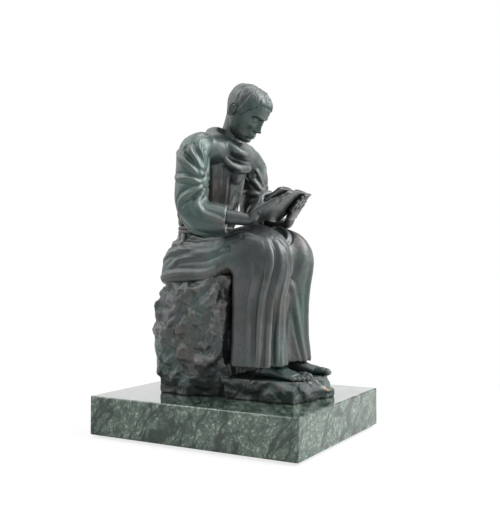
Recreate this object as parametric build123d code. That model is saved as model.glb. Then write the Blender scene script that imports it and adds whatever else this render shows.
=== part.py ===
"""Bronze statuette of a robed reader, seated on a rough-hewn rock seat that is bolted to a
polished green marble slab.

The statuette is built the way a foundry builds it: hollow castings for the rock seat, the
skirt and the torso, solid castings for the small limbs, all meeting on flat seams that are
doweled, and hidden under the girdle, the sleeves, the hem and the collar.

Millimetres. +Z is up and the reader faces -Y, so the reader's right hand is on the -X side.
The origin is at the middle of the slab, on the plane that the felt pads rest on.
"""

import math
import os

from build123d import *

# Marble slab and its felt pads
slab_width = 148.0
slab_length = 180.0
slab_thickness = 30.0
slab_arris = 0.8
felt_side = 18.0
felt_thickness = 2.0
felt_inset = 8.0

# Rock seat: a hewn block with a ledge for the feet
rock_width = 82.0
rock_depth = 72.0
rock_height = 94.0
rock_setback = 25.0
ledge_width = 74.0
ledge_length = 66.0
ledge_height = 16.0
rock_wall = 5.0
chisel_bite = 7.0
crag_spacing = 25.0
crag_depth = 3.0

# Bolts that hold the rock seat down on the slab
bolt_diameter = 6.0
bolt_spacing = 40.0
bolt_head_across = 10.0
bolt_head_height = 4.0
bolt_hole_clearance = 0.5
thread_clearance = 0.05
strap_width = 14.0
strap_length = 62.0
strap_thickness = 2.0
strap_clearance = 1.0
slot_depth = 10.0
lug_width = 16.0
lug_height = 18.0
tapped_depth = 12.0

# Screws that hold the skirt down on the rock seat, from inside the rock
screw_diameter = 4.0
screw_spacing = 36.0
screw_head_across = 7.0
screw_head_height = 3.0
screw_grip = 10.0
boss_wall = 2.5

# Skirt of the robe: over the hips, along the thighs, over the knees and down to the hem
seat_half_width = 33.0
lap_half_width = 37.0
lap_depth = 32.0
hip_overlap = 28.0
knee_depth = 49.0
knee_valley = 9.0
hem_fold = 3.0
pull_fold = 2.6
pull_spread = 5.0
hem_gap = 10.0
hem_recess = 7.0
hem_wall = 3.0
fold_count = 9
rock_lap = 1.2
seat_drape = 9.0
casting_wall = 4.5

# Torso from the girdle to the collar
girdle_rise = 36.0
girdle_height = 6.0
girdle_thickness = 2.0
waist_half_width = 26.0
waist_half_depth = 19.0
chest_half_width = 28.0
chest_half_depth = 20.5
torso_height = 77.0
torso_lean = 20.0
spine_setback = 30.0
shoulder_seam = 30.0

# Cowl collar and the hood that lies on the back
cowl_radius = 15.5
cowl_thickness = 6.0
cowl_tilt = 26.0
hood_width = 42.0
hood_length = 38.0
hood_thickness = 11.0

# Head and neck
head_height = 42.0
head_width = 30.0
head_depth = 36.0
head_bow = 36.0
neck_radius = 8.6
neck_length = 27.0
neck_socket_depth = 8.0
neck_opening = 11.6
skull_bore_radius = 3.5
nose_length = 4.6
hair_rise = 1.1
ear_length = 10.5
ear_thickness = 3.0

# Arms and sleeves
upper_arm_length = 54.0
forearm_length = 46.0
shoulder_half_span = 34.0
shoulder_drop = 14.0
sleeve_radius = 13.0
sleeve_mouth_radius = 11.5
sleeve_cover_length = 27.0
sleeve_sag = 4.0
cuff_radius = 9.0
cuff_depth = 8.0
forearm_radius = 6.2
wrist_radius = 4.6

# Hands
palm_length = 15.0
palm_half_width = 7.2
palm_half_thickness = 3.0
finger_length = 17.0
finger_radius = 1.9
thumb_radius = 2.3
grip_clearance = 0.05

# Open book
book_width = 54.0
book_height = 38.0
cover_thickness = 1.4
page_thickness = 3.6
page_margin = 1.8
book_tilt = 34.0
book_reach = 10.0
book_rise = 12.0
gutter_depth = 2.6

# Feet
foot_length = 46.0
foot_half_width = 8.6
instep_height = 15.0
ankle_radius = 7.0
ankle_spacing = 34.0
ankle_reach = 25.0
ankle_tenon = 3.0
toe_radius = 2.1
toe_length = 9.0
toe_out = 9.0

# Dowel pins across the seams
pin_diameter = 3.0
pin_length = 12.0
pin_clearance = 0.05

# Clearance between castings that drop into each other, and the overrun of cutting solids
seat_clearance = 0.1
overrun = 2.0

# Heights and places that several pieces share
slab_top = felt_thickness + slab_thickness
seat_top = slab_top + rock_height
seat_underside = seat_top - rock_wall
ledge_top = slab_top + ledge_height
rock_front = rock_setback - rock_depth / 2
core_inset = 2 * (rock_wall + chisel_bite)
screw_advance = (rock_depth - core_inset - chisel_bite) / 2 - 0.9 * screw_head_across
hips_back = rock_setback + hip_overlap
hem_bottom = ledge_top + hem_gap
hem_roof = hem_bottom + hem_recess
girdle_seam = seat_top + girdle_rise
collar_height = girdle_seam + torso_height
collar_setback = spine_setback - torso_lean
ankle_y = rock_front - ankle_reach
strap_bottom = felt_thickness + slot_depth - strap_thickness


# Working shapes
def unit(x, y, z):
    return Vector(x, y, z).normalized()


def on(origin, across, outward):
    """A plane whose local x runs along across and whose local y runs along outward."""
    return Plane(origin=origin, x_dir=across, z_dir=Vector(across).cross(Vector(outward)))


def power(value, exponent):
    """A signed power, which squares off the outline of an oval when exponent is under 1."""
    return math.copysign(abs(value) ** exponent, value)


def bell(distance, spread):
    """A smooth bump of height 1 at no distance, which dies away over a few spreads."""
    return math.exp(-((distance / spread) ** 2))


def fill(rows, steps):
    """The rows, with more between each pair on a smooth curve through them all."""
    filled = []
    for k in range(len(rows) - 1):
        around = (rows[max(k - 1, 0)], rows[k], rows[k + 1], rows[min(k + 2, len(rows) - 1)])
        for step in range(steps):
            t = step / steps
            weights = (
                (-t + 2 * t**2 - t**3) / 2,
                (2 - 5 * t**2 + 3 * t**3) / 2,
                (t + 4 * t**2 - 3 * t**3) / 2,
                (t**3 - t**2) / 2,
            )
            filled.append(tuple(
                sum(weight * row[column] for weight, row in zip(weights, around))
                for column in range(len(rows[0]))
            ))
    return filled + [tuple(rows[-1])]


def oval(plane, half_across, half_out, squareness=1.0, points=16):
    """The points of an oval section. Squareness under 1 makes it boxier."""
    outline = []
    for k in range(points):
        angle = 2 * math.pi * (k + 0.5) / points
        outline.append(plane.from_local_coords(Vector(
            half_across * power(math.cos(angle), squareness),
            half_out * power(math.sin(angle), squareness),
            0,
        )))
    return outline


def facet(*corners):
    return Face(Wire.make_polygon(corners, close=True))


def skin(sections, ring=False):
    """A solid whose skin joins the sections in order with flat facets, as a carver's tool
    leaves them. A ring joins its last section to its first."""
    walls = []
    following = sections[1:] + (sections[:1] if ring else [])
    for low, high in zip(sections, following):
        low_next, high_next = low[1:] + low[:1], high[1:] + high[:1]
        for a, b, c, d in zip(low, low_next, high_next, high):
            if (a - c).length < (b - d).length:
                walls += [facet(a, b, c), facet(a, c, d)]
            else:
                walls += [facet(a, b, d), facet(b, c, d)]
    if not ring:
        walls += [facet(*sections[0]), facet(*sections[-1])]
    return Solid(Shell(walls))


def limb(stations, across, steps=1, points=12, squareness=1.0):
    """A limb along its stations (centre, half_across, half_out). Each section stands square to
    the way between its neighbours, and is carried on from the last without a twist."""
    rows = [(*Vector(centre), wide, deep) for centre, wide, deep in stations]
    rows = fill(rows, steps)
    centres = [Vector(*row[:3]) for row in rows]
    side = Vector(across)
    sections = []
    for k, (centre, row) in enumerate(zip(centres, rows)):
        before = centres[max(k - 1, 0)]
        after = centres[min(k + 1, len(centres) - 1)]
        along = (after - before).normalized()
        side = (side - along * side.dot(along)).normalized()
        plane = Plane(origin=centre, x_dir=side, z_dir=along)
        sections.append(oval(plane, row[3], row[4], squareness, points))
    return skin(sections)


def round_bar(start, end, radius):
    """A straight cylinder between two points."""
    axis = Vector(end) - Vector(start)
    return Plane(origin=start, z_dir=axis.normalized()) * Cylinder(
        radius, axis.length, align=(Align.CENTER, Align.CENTER, Align.MIN)
    )


def pocket(floor, mouth, floor_radius, mouth_radius):
    """A tapered pocket for cutting, from its floor to its mouth and a little past it."""
    axis = Vector(mouth) - Vector(floor)
    past = 1 + overrun / axis.length
    end_radius = floor_radius + (mouth_radius - floor_radius) * past
    return limb([(floor, floor_radius, floor_radius),
                 (Vector(floor) + axis * past, end_radius, end_radius)], (1, 0, 0), points=20)


def pin(centre, axis, clearance=0.0, end_clearance=0.0):
    half = Vector(axis).normalized() * (pin_length / 2 + end_clearance)
    return round_bar(Vector(centre) - half, Vector(centre) + half, pin_diameter / 2 + clearance)


def pin_hole(centre, axis):
    return pin(centre, axis, pin_clearance, seat_clearance)


# Marble slab
def bolt_places():
    return (-bolt_spacing / 2, bolt_spacing / 2)


def make_marble_slab():
    slab = Pos(0, 0, felt_thickness + slab_thickness / 2) * Box(
        slab_width, slab_length, slab_thickness
    )
    slab = chamfer(slab.edges(), slab_arris)
    slot_height = felt_thickness + slot_depth
    slot = Pos(0, rock_setback, slot_height / 2) * Box(
        strap_length + 2 * strap_clearance, strap_width + 2 * strap_clearance, slot_height
    )
    slab = slab - slot
    for x in bolt_places():
        slab = slab - round_bar((x, rock_setback, 0), (x, rock_setback, slab_top + overrun),
                                bolt_diameter / 2 + bolt_hole_clearance)
    return slab


def make_felt_pads():
    """Four pads with clipped corners, one near each corner of the slab."""
    pads = []
    for x in (-1, 1):
        for y in (-1, 1):
            pad = Pos(
                x * (slab_width / 2 - felt_inset - felt_side / 2),
                y * (slab_length / 2 - felt_inset - felt_side / 2),
                felt_thickness / 2,
            ) * Box(felt_side, felt_side, felt_thickness)
            pads.append(chamfer(pad.edges().filter_by(Axis.Z), felt_thickness))
    return Compound(children=pads)


# Fasteners under the slab and inside the rock
def hexagon_screw(x, y, head_bottom, shank_top, diameter, across, head_height):
    """A hexagon-head screw that points up."""
    head = Pos(x, y, head_bottom) * extrude(
        RegularPolygon(across / 2, 6, major_radius=False), head_height
    )
    return head + round_bar((x, y, head_bottom), (x, y, shank_top), diameter / 2)


def make_mounting_bolts():
    return Compound(children=[
        hexagon_screw(x, rock_setback, strap_bottom - bolt_head_height,
                      slab_top + tapped_depth - overrun, bolt_diameter, bolt_head_across,
                      bolt_head_height)
        for x in bolt_places()
    ])


def make_mounting_strap():
    """A steel strap that spreads the bolts' load over the marble."""
    strap = Pos(0, rock_setback, strap_bottom + strap_thickness / 2) * Box(
        strap_length, strap_width, strap_thickness
    )
    for x in bolt_places():
        strap = strap - round_bar((x, rock_setback, 0), (x, rock_setback, slab_top),
                                  bolt_diameter / 2 + thread_clearance)
    return strap


def screw_places():
    """Places of the skirt's screws, ahead of the waist's round core."""
    return [(x * screw_spacing / 2, rock_setback - screw_advance) for x in (-1, 1)]


def make_seat_screws():
    return Compound(children=[
        hexagon_screw(x, y, seat_underside - screw_head_height, seat_top + screw_grip,
                      screw_diameter, screw_head_across, screw_head_height)
        for x, y in screw_places()
    ])


# Rock seat. Each chisel cut takes a corner or an edge off a block. A row holds the heading of
# the cut's outward normal in degrees, how far that normal leans up in degrees, and the bite as
# a share of chisel_bite, measured in from the block's farthest corner that way.
block_cut_shares = (
    (45, 8, 1.5), (135, -6, 1.3), (225, 10, 1.2), (315, -5, 0.9), (90, 34, 1.9),
    (62, -28, 2.0), (180, 30, 0.8), (200, -24, 2.1), (0, 26, 1.0), (-18, -30, 1.8),
    (120, 52, 1.4), (160, 6, 1.5), (20, 12, 1.5), (172, -14, 1.2), (188, 12, 0.8),
    (100, -16, 1.4), (78, 10, 1.1), (8, -12, 1.0),
)
ledge_cut_shares = (
    (225, 18, 1.5), (315, 10, 1.9), (270, 32, 0.9), (248, -8, 1.7), (292, 6, 1.3),
    (196, 22, 1.1), (-14, 26, 1.1), (180, -12, 0.6), (262, -20, 1.2),
)


rock_points = 36
block_levels = 12
ledge_levels = 3


def hewn_planes(size, cuts):
    """The planes of a hewn block, as outward normals and distances from its centre."""
    width, depth, height = size
    planes = []
    for normal, half in ((unit(1, 0, 0), width / 2), (unit(0, 1, 0), depth / 2),
                         (unit(0, 0, 1), height / 2)):
        planes += [(normal, half), (-normal, half)]
    for heading, lean, share in cuts:
        heading, lean = math.radians(heading), math.radians(lean)
        normal = unit(math.cos(heading) * math.cos(lean), math.sin(heading) * math.cos(lean),
                      math.sin(lean))
        corner = (abs(normal.X) * width + abs(normal.Y) * depth + abs(normal.Z) * height) / 2
        planes.append((normal, corner - share * chisel_bite))
    return planes


def crag(point):
    """The depth of the dents at a point: waves along the three axes that bend each other."""
    across, along, rise = (turn * 2 * math.pi / crag_spacing for turn in point)
    a = math.sin(across + 1.9 * math.sin(rise / 1.7))
    b = math.sin(rise + 1.7 * math.sin(along / 1.4))
    c = math.sin(along + 1.3 * math.sin(across / 2.1))
    wave = max(-1.0, min(1.0, a * b + b * c + c * a))
    return crag_depth * (1 - wave) / 2


def hewn_block(centre, size, cuts, levels):
    """A hewn block as level sections. Each point lies where a ray from the block's axis meets
    the nearest plane, less the dent there."""
    planes = hewn_planes(size, cuts)
    sections = []
    for level in range(levels + 1):
        start = Vector(0, 0, size[2] * (level / levels - 0.5))
        outline = []
        for k in range(rock_points):
            angle = 2 * math.pi * k / rock_points
            heading = unit(math.cos(angle), math.sin(angle), 0)
            reach = min((distance - normal.dot(start)) / normal.dot(heading)
                        for normal, distance in planes if normal.dot(heading) > 1e-6)
            place = centre + start + heading * reach
            outline.append(place - heading * crag(place))
        sections.append(outline)
    return skin(sections)


def rock_core():
    """The foundry core of the rock: an upright block inside the walls, narrower at its top so
    that it stays inside the chisel cuts."""
    foot = Pos(0, rock_setback, slab_top - overrun) * Rectangle(
        rock_width - core_inset, rock_depth - core_inset
    )
    top = Pos(0, rock_setback, seat_underside) * Rectangle(
        rock_width - core_inset - chisel_bite, rock_depth - core_inset - chisel_bite
    )
    return loft([foot, top], ruled=True)


def hewn_rock():
    """The rock's outer form: the block that is sat on, and the ledge for the feet."""
    block = hewn_block(Vector(0, rock_setback, slab_top + rock_height / 2),
                       (rock_width, rock_depth, rock_height), block_cut_shares, block_levels)
    ledge_size = (ledge_width, ledge_length + rock_wall, ledge_height)
    ledge = hewn_block(Vector(0, rock_front + rock_wall - ledge_size[1] / 2,
                              slab_top + ledge_height / 2),
                       ledge_size, ledge_cut_shares, ledge_levels)
    return block + ledge


def make_rock_seat():
    lug = Pos(0, rock_setback, slab_top + lug_height / 2) * Box(
        rock_width - 2 * rock_wall, lug_width, lug_height
    )
    rock = hewn_rock() - (rock_core() - lug)
    for x in bolt_places():
        rock = rock - round_bar((x, rock_setback, slab_top - overrun),
                                (x, rock_setback, slab_top + tapped_depth),
                                bolt_diameter / 2 + thread_clearance)
    for x, y in screw_places():
        rock = rock - round_bar((x, y, seat_underside - overrun), (x, y, seat_top + overrun),
                                screw_diameter / 2 + seat_clearance)
    return rock


# Skirt of the robe. A section has close-set points over the side that shows and a few over
# the side that lies on the rock. Angles are in degrees from the reader's left.
outer_points = 33
back_points = 3
wrap_angle = 12


def skirt_angles():
    sweep = 180 + 2 * wrap_angle
    outer = [-wrap_angle + sweep * k / (outer_points - 1) for k in range(outer_points)]
    gap = 360 - sweep
    back = [180 + wrap_angle + gap * (k + 1) / (back_points + 1) for k in range(back_points)]
    return outer + back


def pull_rise(station, across):
    """How far the pulls stand out at a station and a place across, a share of half width."""
    rise = 0.0
    for start, end, side_from, side_to, share in pull_shares:
        way = (station - start) / (end - start)
        if 0 < way < 1:
            off = across - (side_from + (side_to - side_from) * way)
            crest = bell(off * lap_half_width, pull_spread)
            rise += share * pull_fold * math.sin(math.pi * way) ** 0.7 * crest
    return rise


def skirt_section(plane, station, half_width, depth, valley, fold, flare=0.0):
    """Two thighs with a valley between them, and folds that run down the outer side. Local x
    runs across the reader and local y outward from the rock, where the cloth flares."""
    outline = []
    for degrees in skirt_angles():
        angle = math.radians(degrees)
        side, out = math.cos(angle), math.sin(angle)
        shown = max(0.0, out) ** 0.6
        ripple = -math.cos(fold_count * (angle - math.pi / 2) + side) * shown * fold
        height = (1 + power(out, 0.72 if out > 0 else 0.35)) / 2
        x = half_width * power(side, 0.72) * (1 + flare * (1 - height) ** 2) + ripple * side
        y = depth * height + ripple * out
        y -= valley * bell(x / half_width, 0.36) * shown
        y += pull_rise(station, x / half_width) * shown
        outline.append(plane.from_local_coords(Vector(x, y, 0)))
    return outline


# Skirt stations from behind the hips to the hem. The first three columns place the section:
# the run along the seat, the turn over the knees and the drop to the hem. The rest are shares
# of its half width, depth, valley, fold, flare and drape over the rock.
skirt_shares = (
    (0.00, 0.0, 0.0, 0.62, 0.30, 0.0, 0.00, 0.20, 1.0),
    (0.04, 0.0, 0.0, 0.82, 0.50, 0.0, 0.00, 0.26, 1.0),
    (0.18, 0.0, 0.0, 0.89, 0.65, 0.0, 0.10, 0.24, 1.0),
    (0.45, 0.0, 0.0, 0.89, 0.68, 0.2, 0.12, 0.22, 1.0),
    (0.75, 0.0, 0.0, 0.92, 0.70, 0.6, 0.15, 0.18, 0.8),
    (1.00, 0.0, 0.0, 0.98, 0.78, 0.8, 0.20, 0.08, 0.0),
    (1.00, 0.4, 0.0, 1.03, 0.97, 1.0, 0.26, 0.00, 0.0),
    (1.00, 0.7, 0.0, 1.03, 1.03, 1.1, 0.34, 0.00, 0.0),
    (1.00, 1.0, 0.0, 1.00, 0.93, 1.0, 0.50, 0.00, 0.0),
    (1.00, 1.0, 0.3, 1.00, 0.85, 0.8, 0.68, 0.00, 0.0),
    (1.00, 1.0, 0.7, 1.02, 0.83, 0.5, 0.90, 0.00, 0.0),
    (1.00, 1.0, 1.0, 1.08, 0.86, 0.4, 1.05, 0.00, 0.0),
)


# Pulls, the broad folds that run slantwise over the thighs and knees. A row holds where a pull
# starts and ends, counted in skirt stations, its places across there as shares of the half
# width, and its share of pull_fold.
pull_shares = (
    (1.0, 5.8, 0.88, 0.58, 0.9), (0.8, 5.4, -0.86, -0.62, 0.9), (2.6, 5.6, -0.42, 0.12, 0.7),
    (3.6, 7.0, 0.40, -0.10, 0.8), (5.4, 9.2, -0.52, 0.06, 0.9), (6.0, 10.8, 0.50, -0.22, 1.0),
    (6.2, 11.3, 0.60, 0.84, 0.9), (6.4, 11.3, -0.62, -0.80, 0.9),
)


def skirt_plane(run, turn, drop, drape):
    lean = math.radians(90 * turn)
    outward = Vector(0, -math.sin(lean), math.cos(lean))
    pivot = Vector(0, rock_front + rock_lap, seat_top - rock_lap)
    back = Vector(0, (1 - run) * (hips_back - rock_front), 0)
    down = Vector(0, 0, -drop * (seat_top - rock_lap - hem_bottom))
    lap = outward * (rock_lap / 4 - drape * seat_drape)
    return on(pivot + back + down + lap, (1, 0, 0), outward)


def skirt_row_section(row):
    station, run, turn, drop, wide, deep, valley, fold, flare, drape = row
    return skirt_section(skirt_plane(run, turn, drop, drape), station, wide * lap_half_width,
                         deep * knee_depth + drape * seat_drape, valley * knee_valley,
                         fold * hem_fold, flare)


def skirt_rows():
    """The stations with one more between each pair, placed evenly and shaped smoothly."""
    steps = 2
    shaped = fill(skirt_shares, steps)
    placed = []
    for k, row in enumerate(shaped):
        low = skirt_shares[k // steps]
        high = skirt_shares[min(k // steps + 1, len(skirt_shares) - 1)]
        share = (k % steps) / steps
        placed.append((k / steps, *(a + (b - a) * share for a, b in zip(low[:3], high[:3])),
                       *row[3:]))
    return placed


waist_count = 28


def waist_plane(height):
    return Plane(origin=(0, spine_setback, height), x_dir=(1, 0, 0), z_dir=(0, 0, 1))


def waist_band(low, high, grow=0.0):
    """The straight stretch of the waist that the girdle sits on."""
    return skin([
        oval(waist_plane(height), waist_half_width + grow, waist_half_depth + grow,
             points=waist_count)
        for height in (low, high)
    ])


def waist_pin_places():
    """Places of the waist pins, in the wall at either side of the round core."""
    middle = (waist_half_width + waist_half_depth - casting_wall) / 2
    return [(x * middle, spine_setback) for x in (-1, 1)]


def hips_body():
    """The hips and belly between the lap and the girdle."""
    rows = (
        (seat_top + lap_depth * 0.35, seat_half_width * 0.93, hip_overlap * 0.82),
        (seat_top + lap_depth * 0.75, seat_half_width * 0.9, hip_overlap * 0.8),
        (girdle_seam - girdle_height, waist_half_width * 1.02, waist_half_depth * 1.03),
        (girdle_seam - girdle_height * 0.8, waist_half_width, waist_half_depth),
        (girdle_seam, waist_half_width, waist_half_depth),
    )
    return skin([
        oval(waist_plane(height), wide, deep, points=waist_count) for height, wide, deep in rows
    ])


def ankle_places():
    return (-ankle_spacing / 2, ankle_spacing / 2)


def make_robe_skirt():
    skirt = skin([skirt_row_section(row) for row in skirt_rows()]) + hips_body()
    return skirt - hewn_rock() - skirt_core() - hem_hollow()


def skirt_core():
    """The foundry core of the skirt: a block under the hips that opens onto the rock behind
    the screws, and a round one up the waist."""
    roof = seat_top + lap_depth - knee_valley - casting_wall
    back = hips_back - 2 * casting_wall
    front = rock_setback - screw_advance + screw_diameter + boss_wall
    core = Pos(0, (back + front) / 2, (roof + seat_top - overrun) / 2) * Box(
        2 * seat_half_width * 0.7, back - front, roof - seat_top + overrun
    )
    core = core + round_bar((0, spine_setback, roof - casting_wall),
                            (0, spine_setback, girdle_seam + overrun),
                            waist_half_depth - casting_wall)
    for x, y in screw_places():
        core = core + round_bar((x, y, seat_top - overrun), (x, y, seat_top + screw_grip),
                                screw_diameter / 2 + thread_clearance)
    for x, y in waist_pin_places():
        core = core + pin_hole((x, y, girdle_seam), (0, 0, 1))
    return core


def hem_hollow():
    """The hollow under the hem, with a shallow socket in its roof for each ankle."""
    hem = skirt_shares[-1]
    low = on((0, rock_front, hem_bottom - overrun), (1, 0, 0), (0, -1, 0))
    high = on((0, rock_front, hem_roof), (1, 0, 0), (0, -1, 0))
    sections = []
    for plane in (low, high):
        inner = Plane(origin=plane.from_local_coords(Vector(0, hem_wall, 0)),
                      x_dir=plane.x_dir, z_dir=plane.z_dir)
        sections.append(skirt_section(
            inner, len(skirt_shares) - 1, hem[3] * lap_half_width - hem_wall,
            hem[4] * knee_depth - 2 * hem_wall, hem[5] * knee_valley, hem[6] * hem_fold))
    hollow = skin(sections)
    for x in ankle_places():
        hollow = hollow + pocket((x, ankle_y, hem_roof + ankle_tenon), (x, ankle_y, hem_bottom),
                                 ankle_radius + seat_clearance, ankle_radius + seat_clearance)
    return hollow


# Torso with its cowl and hood. A row holds the height above the girdle, the blend from waist
# to chest, the half width and half depth, and the forward lean, all as shares.
torso_shares = (
    (0.00, 0.0, 1.00, 1.00, 0.00),
    (0.07, 0.0, 1.00, 1.00, 0.00),
    (0.22, 0.3, 1.08, 1.05, 0.05),
    (0.48, 1.0, 1.02, 1.02, 0.30),
    (0.70, 1.0, 1.02, 1.00, 0.60),
    (0.84, 1.0, 0.88, 0.88, 0.84),
    (0.92, 1.0, 0.62, 0.64, 1.00),
)


def torso_section(row, inset=0.0, points=waist_count):
    height, blend, wide, deep, lean = row
    half_width = waist_half_width + blend * (chest_half_width - waist_half_width)
    half_depth = waist_half_depth + blend * (chest_half_depth - waist_half_depth)
    centre = (0, spine_setback - lean * torso_lean, girdle_seam + height * torso_height)
    plane = Plane(origin=centre, x_dir=(1, 0, 0), z_dir=(0, 0, 1))
    return oval(plane, wide * half_width - inset, deep * half_depth - inset,
                1 - 0.08 * blend, points)


def cowl_plane():
    tilt = math.radians(cowl_tilt)
    return Plane(origin=(0, collar_setback, collar_height - cowl_thickness),
                 x_dir=(1, 0, 0), z_dir=(0, -math.sin(tilt), math.cos(tilt)))


def neck_axis():
    return cowl_plane().z_dir


def neck_seat():
    """The floor of the neck's socket."""
    return cowl_plane().origin - neck_axis() * neck_socket_depth


def cowl_ring():
    """A rolled collar, fuller and lower at the throat."""
    plane = cowl_plane()
    sections = []
    count = 24
    for k in range(count):
        angle = 2 * math.pi * k / count
        outward = plane.x_dir * math.cos(angle) + plane.y_dir * math.sin(angle)
        throat = bell(1 + math.sin(angle), 0.5)
        folds = 1 + 0.12 * math.cos(5 * angle)
        centre = plane.origin + outward * cowl_radius * (1 + 0.15 * throat)
        centre = centre - plane.z_dir * (throat * cowl_thickness / 2)
        sections.append(oval(on(centre, outward, plane.z_dir),
                             cowl_thickness * (0.95 + 0.25 * throat) * folds,
                             cowl_thickness * 0.85 * folds, points=8))
    return skin(sections, ring=True)


# Hood rows: drop down the back, stand-off, half width and half thickness as shares.
hood_shares = (
    (-0.04, -0.15, 0.30, 0.50), (0.08, 0.05, 0.42, 0.62), (0.32, 0.22, 0.50, 0.70),
    (0.60, 0.28, 0.46, 0.66), (0.86, 0.10, 0.30, 0.50), (1.00, -0.12, 0.12, 0.25),
)


def hood():
    """The hood, lying folded between the shoulder blades."""
    sections = []
    for drop, stand, wide, thick in fill(hood_shares, 2):
        centre = (0, collar_setback + cowl_radius + stand * hood_thickness,
                  collar_height - drop * hood_length)
        plane = Plane(origin=centre, x_dir=(1, 0, 0), z_dir=(0, 0, 1))
        sections.append(oval(plane, wide * hood_width, thick * hood_thickness, points=12))
    return skin(sections)


def shoulder_point(side):
    return Vector(side * shoulder_half_span, collar_setback + chest_half_depth * 0.2,
                  collar_height - shoulder_drop)


def seam_point(side):
    shoulder = shoulder_point(side)
    return Vector(side * shoulder_seam, shoulder.Y, shoulder.Z)


def yoke():
    """The cloth over the shoulders, from one sleeve's seam to the other's."""
    end = seam_point(1)
    middle = Vector(0, end.Y, end.Z)
    half = [
        (end, sleeve_radius, sleeve_radius),
        (middle + (end - middle) * 0.6, sleeve_radius * 1.18, sleeve_radius * 1.08),
    ]
    mirrored = [(Vector(-p.X, p.Y, p.Z), wide, deep) for p, wide, deep in reversed(half)]
    return limb([*half, (middle, sleeve_radius * 1.3, sleeve_radius * 1.1), *mirrored],
                (0, 1, 0), points=18)


def make_torso():
    body = skin([torso_section(row) for row in (torso_shares[0], *fill(torso_shares[1:], 2))])
    body = body + yoke() + cowl_ring() + hood()
    core = skin([torso_section(row, casting_wall, 16) for row in torso_shares[:-2]])
    core = Pos(0, 0, -seat_clearance) * core
    core = core + pocket(neck_seat(), cowl_plane().origin + neck_axis() * cowl_thickness,
                         neck_radius + seat_clearance, neck_opening)
    core = core + pin_hole(neck_seat(), neck_axis())
    for x, y in waist_pin_places():
        core = core + pin_hole((x, y, girdle_seam), (0, 0, 1))
    for side in (-1, 1):
        core = core + pin_hole(seam_point(side), (1, 0, 0))
    return body - core


# Girdle rows: height and bulge as shares. Knot rows: height and radius as shares.
girdle_shares = ((0.0, 0.55), (0.25, 1.0), (0.5, 0.8), (0.75, 1.0), (1.0, 0.55))
knot_shares = ((-0.7, 0.3), (-0.4, 0.55), (0.0, 0.68), (0.4, 0.55), (0.7, 0.3))


def make_girdle():
    """A rope girdle round the waist, knotted at the reader's right hip."""
    low = girdle_seam - girdle_height / 2
    band = skin([
        oval(waist_plane(low + share * girdle_height), waist_half_width + girdle_thickness * bulge,
             waist_half_depth + girdle_thickness * bulge, points=waist_count)
        for share, bulge in girdle_shares
    ])
    knot_centre = Vector(-waist_half_width * 0.86, spine_setback - waist_half_depth * 0.62,
                         girdle_seam)
    knot = limb([
        (knot_centre + Vector(0, 0, girdle_height * step), girdle_height * size,
         girdle_height * size)
        for step, size in knot_shares
    ], (1, 0, 0), points=10)
    inner = waist_band(low - girdle_height, low + 2 * girdle_height, seat_clearance)
    return band + knot - inner


# Book
def book_plane():
    """Local x runs to the reader's right, local y up the page, local z out of the pages."""
    tilt = math.radians(book_tilt)
    up_page = Vector(0, -math.cos(tilt), math.sin(tilt))
    near_edge = Vector(0, rock_front - book_reach, seat_top + lap_depth + book_rise)
    return on(near_edge + up_page * (book_height / 2), (-1, 0, 0), up_page)


def book_point(x, y, z):
    """A place on the book, with x towards the reader's left as in the whole model."""
    return book_plane().from_local_coords(Vector(-x, y, z))


def book_board(grow=0.0):
    board = Box(book_width + 2 * grow, book_height + 2 * grow, cover_thickness + 2 * grow)
    board = chamfer(board.edges().filter_by(Axis.Z), cover_thickness)
    return book_plane() * Pos(0, 0, -cover_thickness / 2) * board


def book_pages(grow=0.0):
    """Two page blocks that swell up from the gutter and fall away to the fore edges."""
    half = book_width / 2 - page_margin + grow
    top = page_thickness + grow
    edge, shoulder, gutter = top * 0.45, top * 0.86, top - gutter_depth
    crest = half * 0.38
    front = book_height / 2 - page_margin + grow

    def at(x, z):
        return Vector(x, front, z)

    outline = [Edge.make_line(at(-half, 0), at(half, 0))]
    for side in (-1, 1):
        outline += [
            Edge.make_line(at(side * half, 0), at(side * half, edge)),
            Edge.make_three_point_arc(at(side * half, edge), at(side * half * 0.7, shoulder),
                                      at(side * crest, top)),
            Edge.make_three_point_arc(at(side * crest, top), at(side * crest * 0.4, shoulder),
                                      at(0, gutter)),
        ]
    block = Solid.extrude(Face(Wire(outline)), Vector(0, -2 * front, 0))
    return book_plane() * block


# Arms
pole_shares = (0.5, 0.6, -0.45)


def wrist_point(side):
    return book_point(side * (book_width / 2 + wrist_radius * 0.7), -book_height * 0.36,
                      -palm_half_thickness * 2.2)


def elbow_point(side):
    """The elbow of a two-bone arm from shoulder to wrist, bent outward and back."""
    shoulder, wrist = shoulder_point(side), wrist_point(side)
    reach = (wrist - shoulder).length
    along = (wrist - shoulder).normalized()
    before = (upper_arm_length**2 - forearm_length**2 + reach**2) / (2 * reach)
    height = math.sqrt(max(upper_arm_length**2 - before**2, wrist_radius**2))
    pole = Vector(side * pole_shares[0], *pole_shares[1:])
    bend = (pole - along * pole.dot(along)).normalized()
    return shoulder + along * before + bend * height


def forearm_axis(side):
    return (wrist_point(side) - elbow_point(side)).normalized()


def sleeve_end(side):
    """The middle of the sleeve's mouth, part of the way along the forearm."""
    return elbow_point(side) + forearm_axis(side) * sleeve_cover_length


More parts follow.
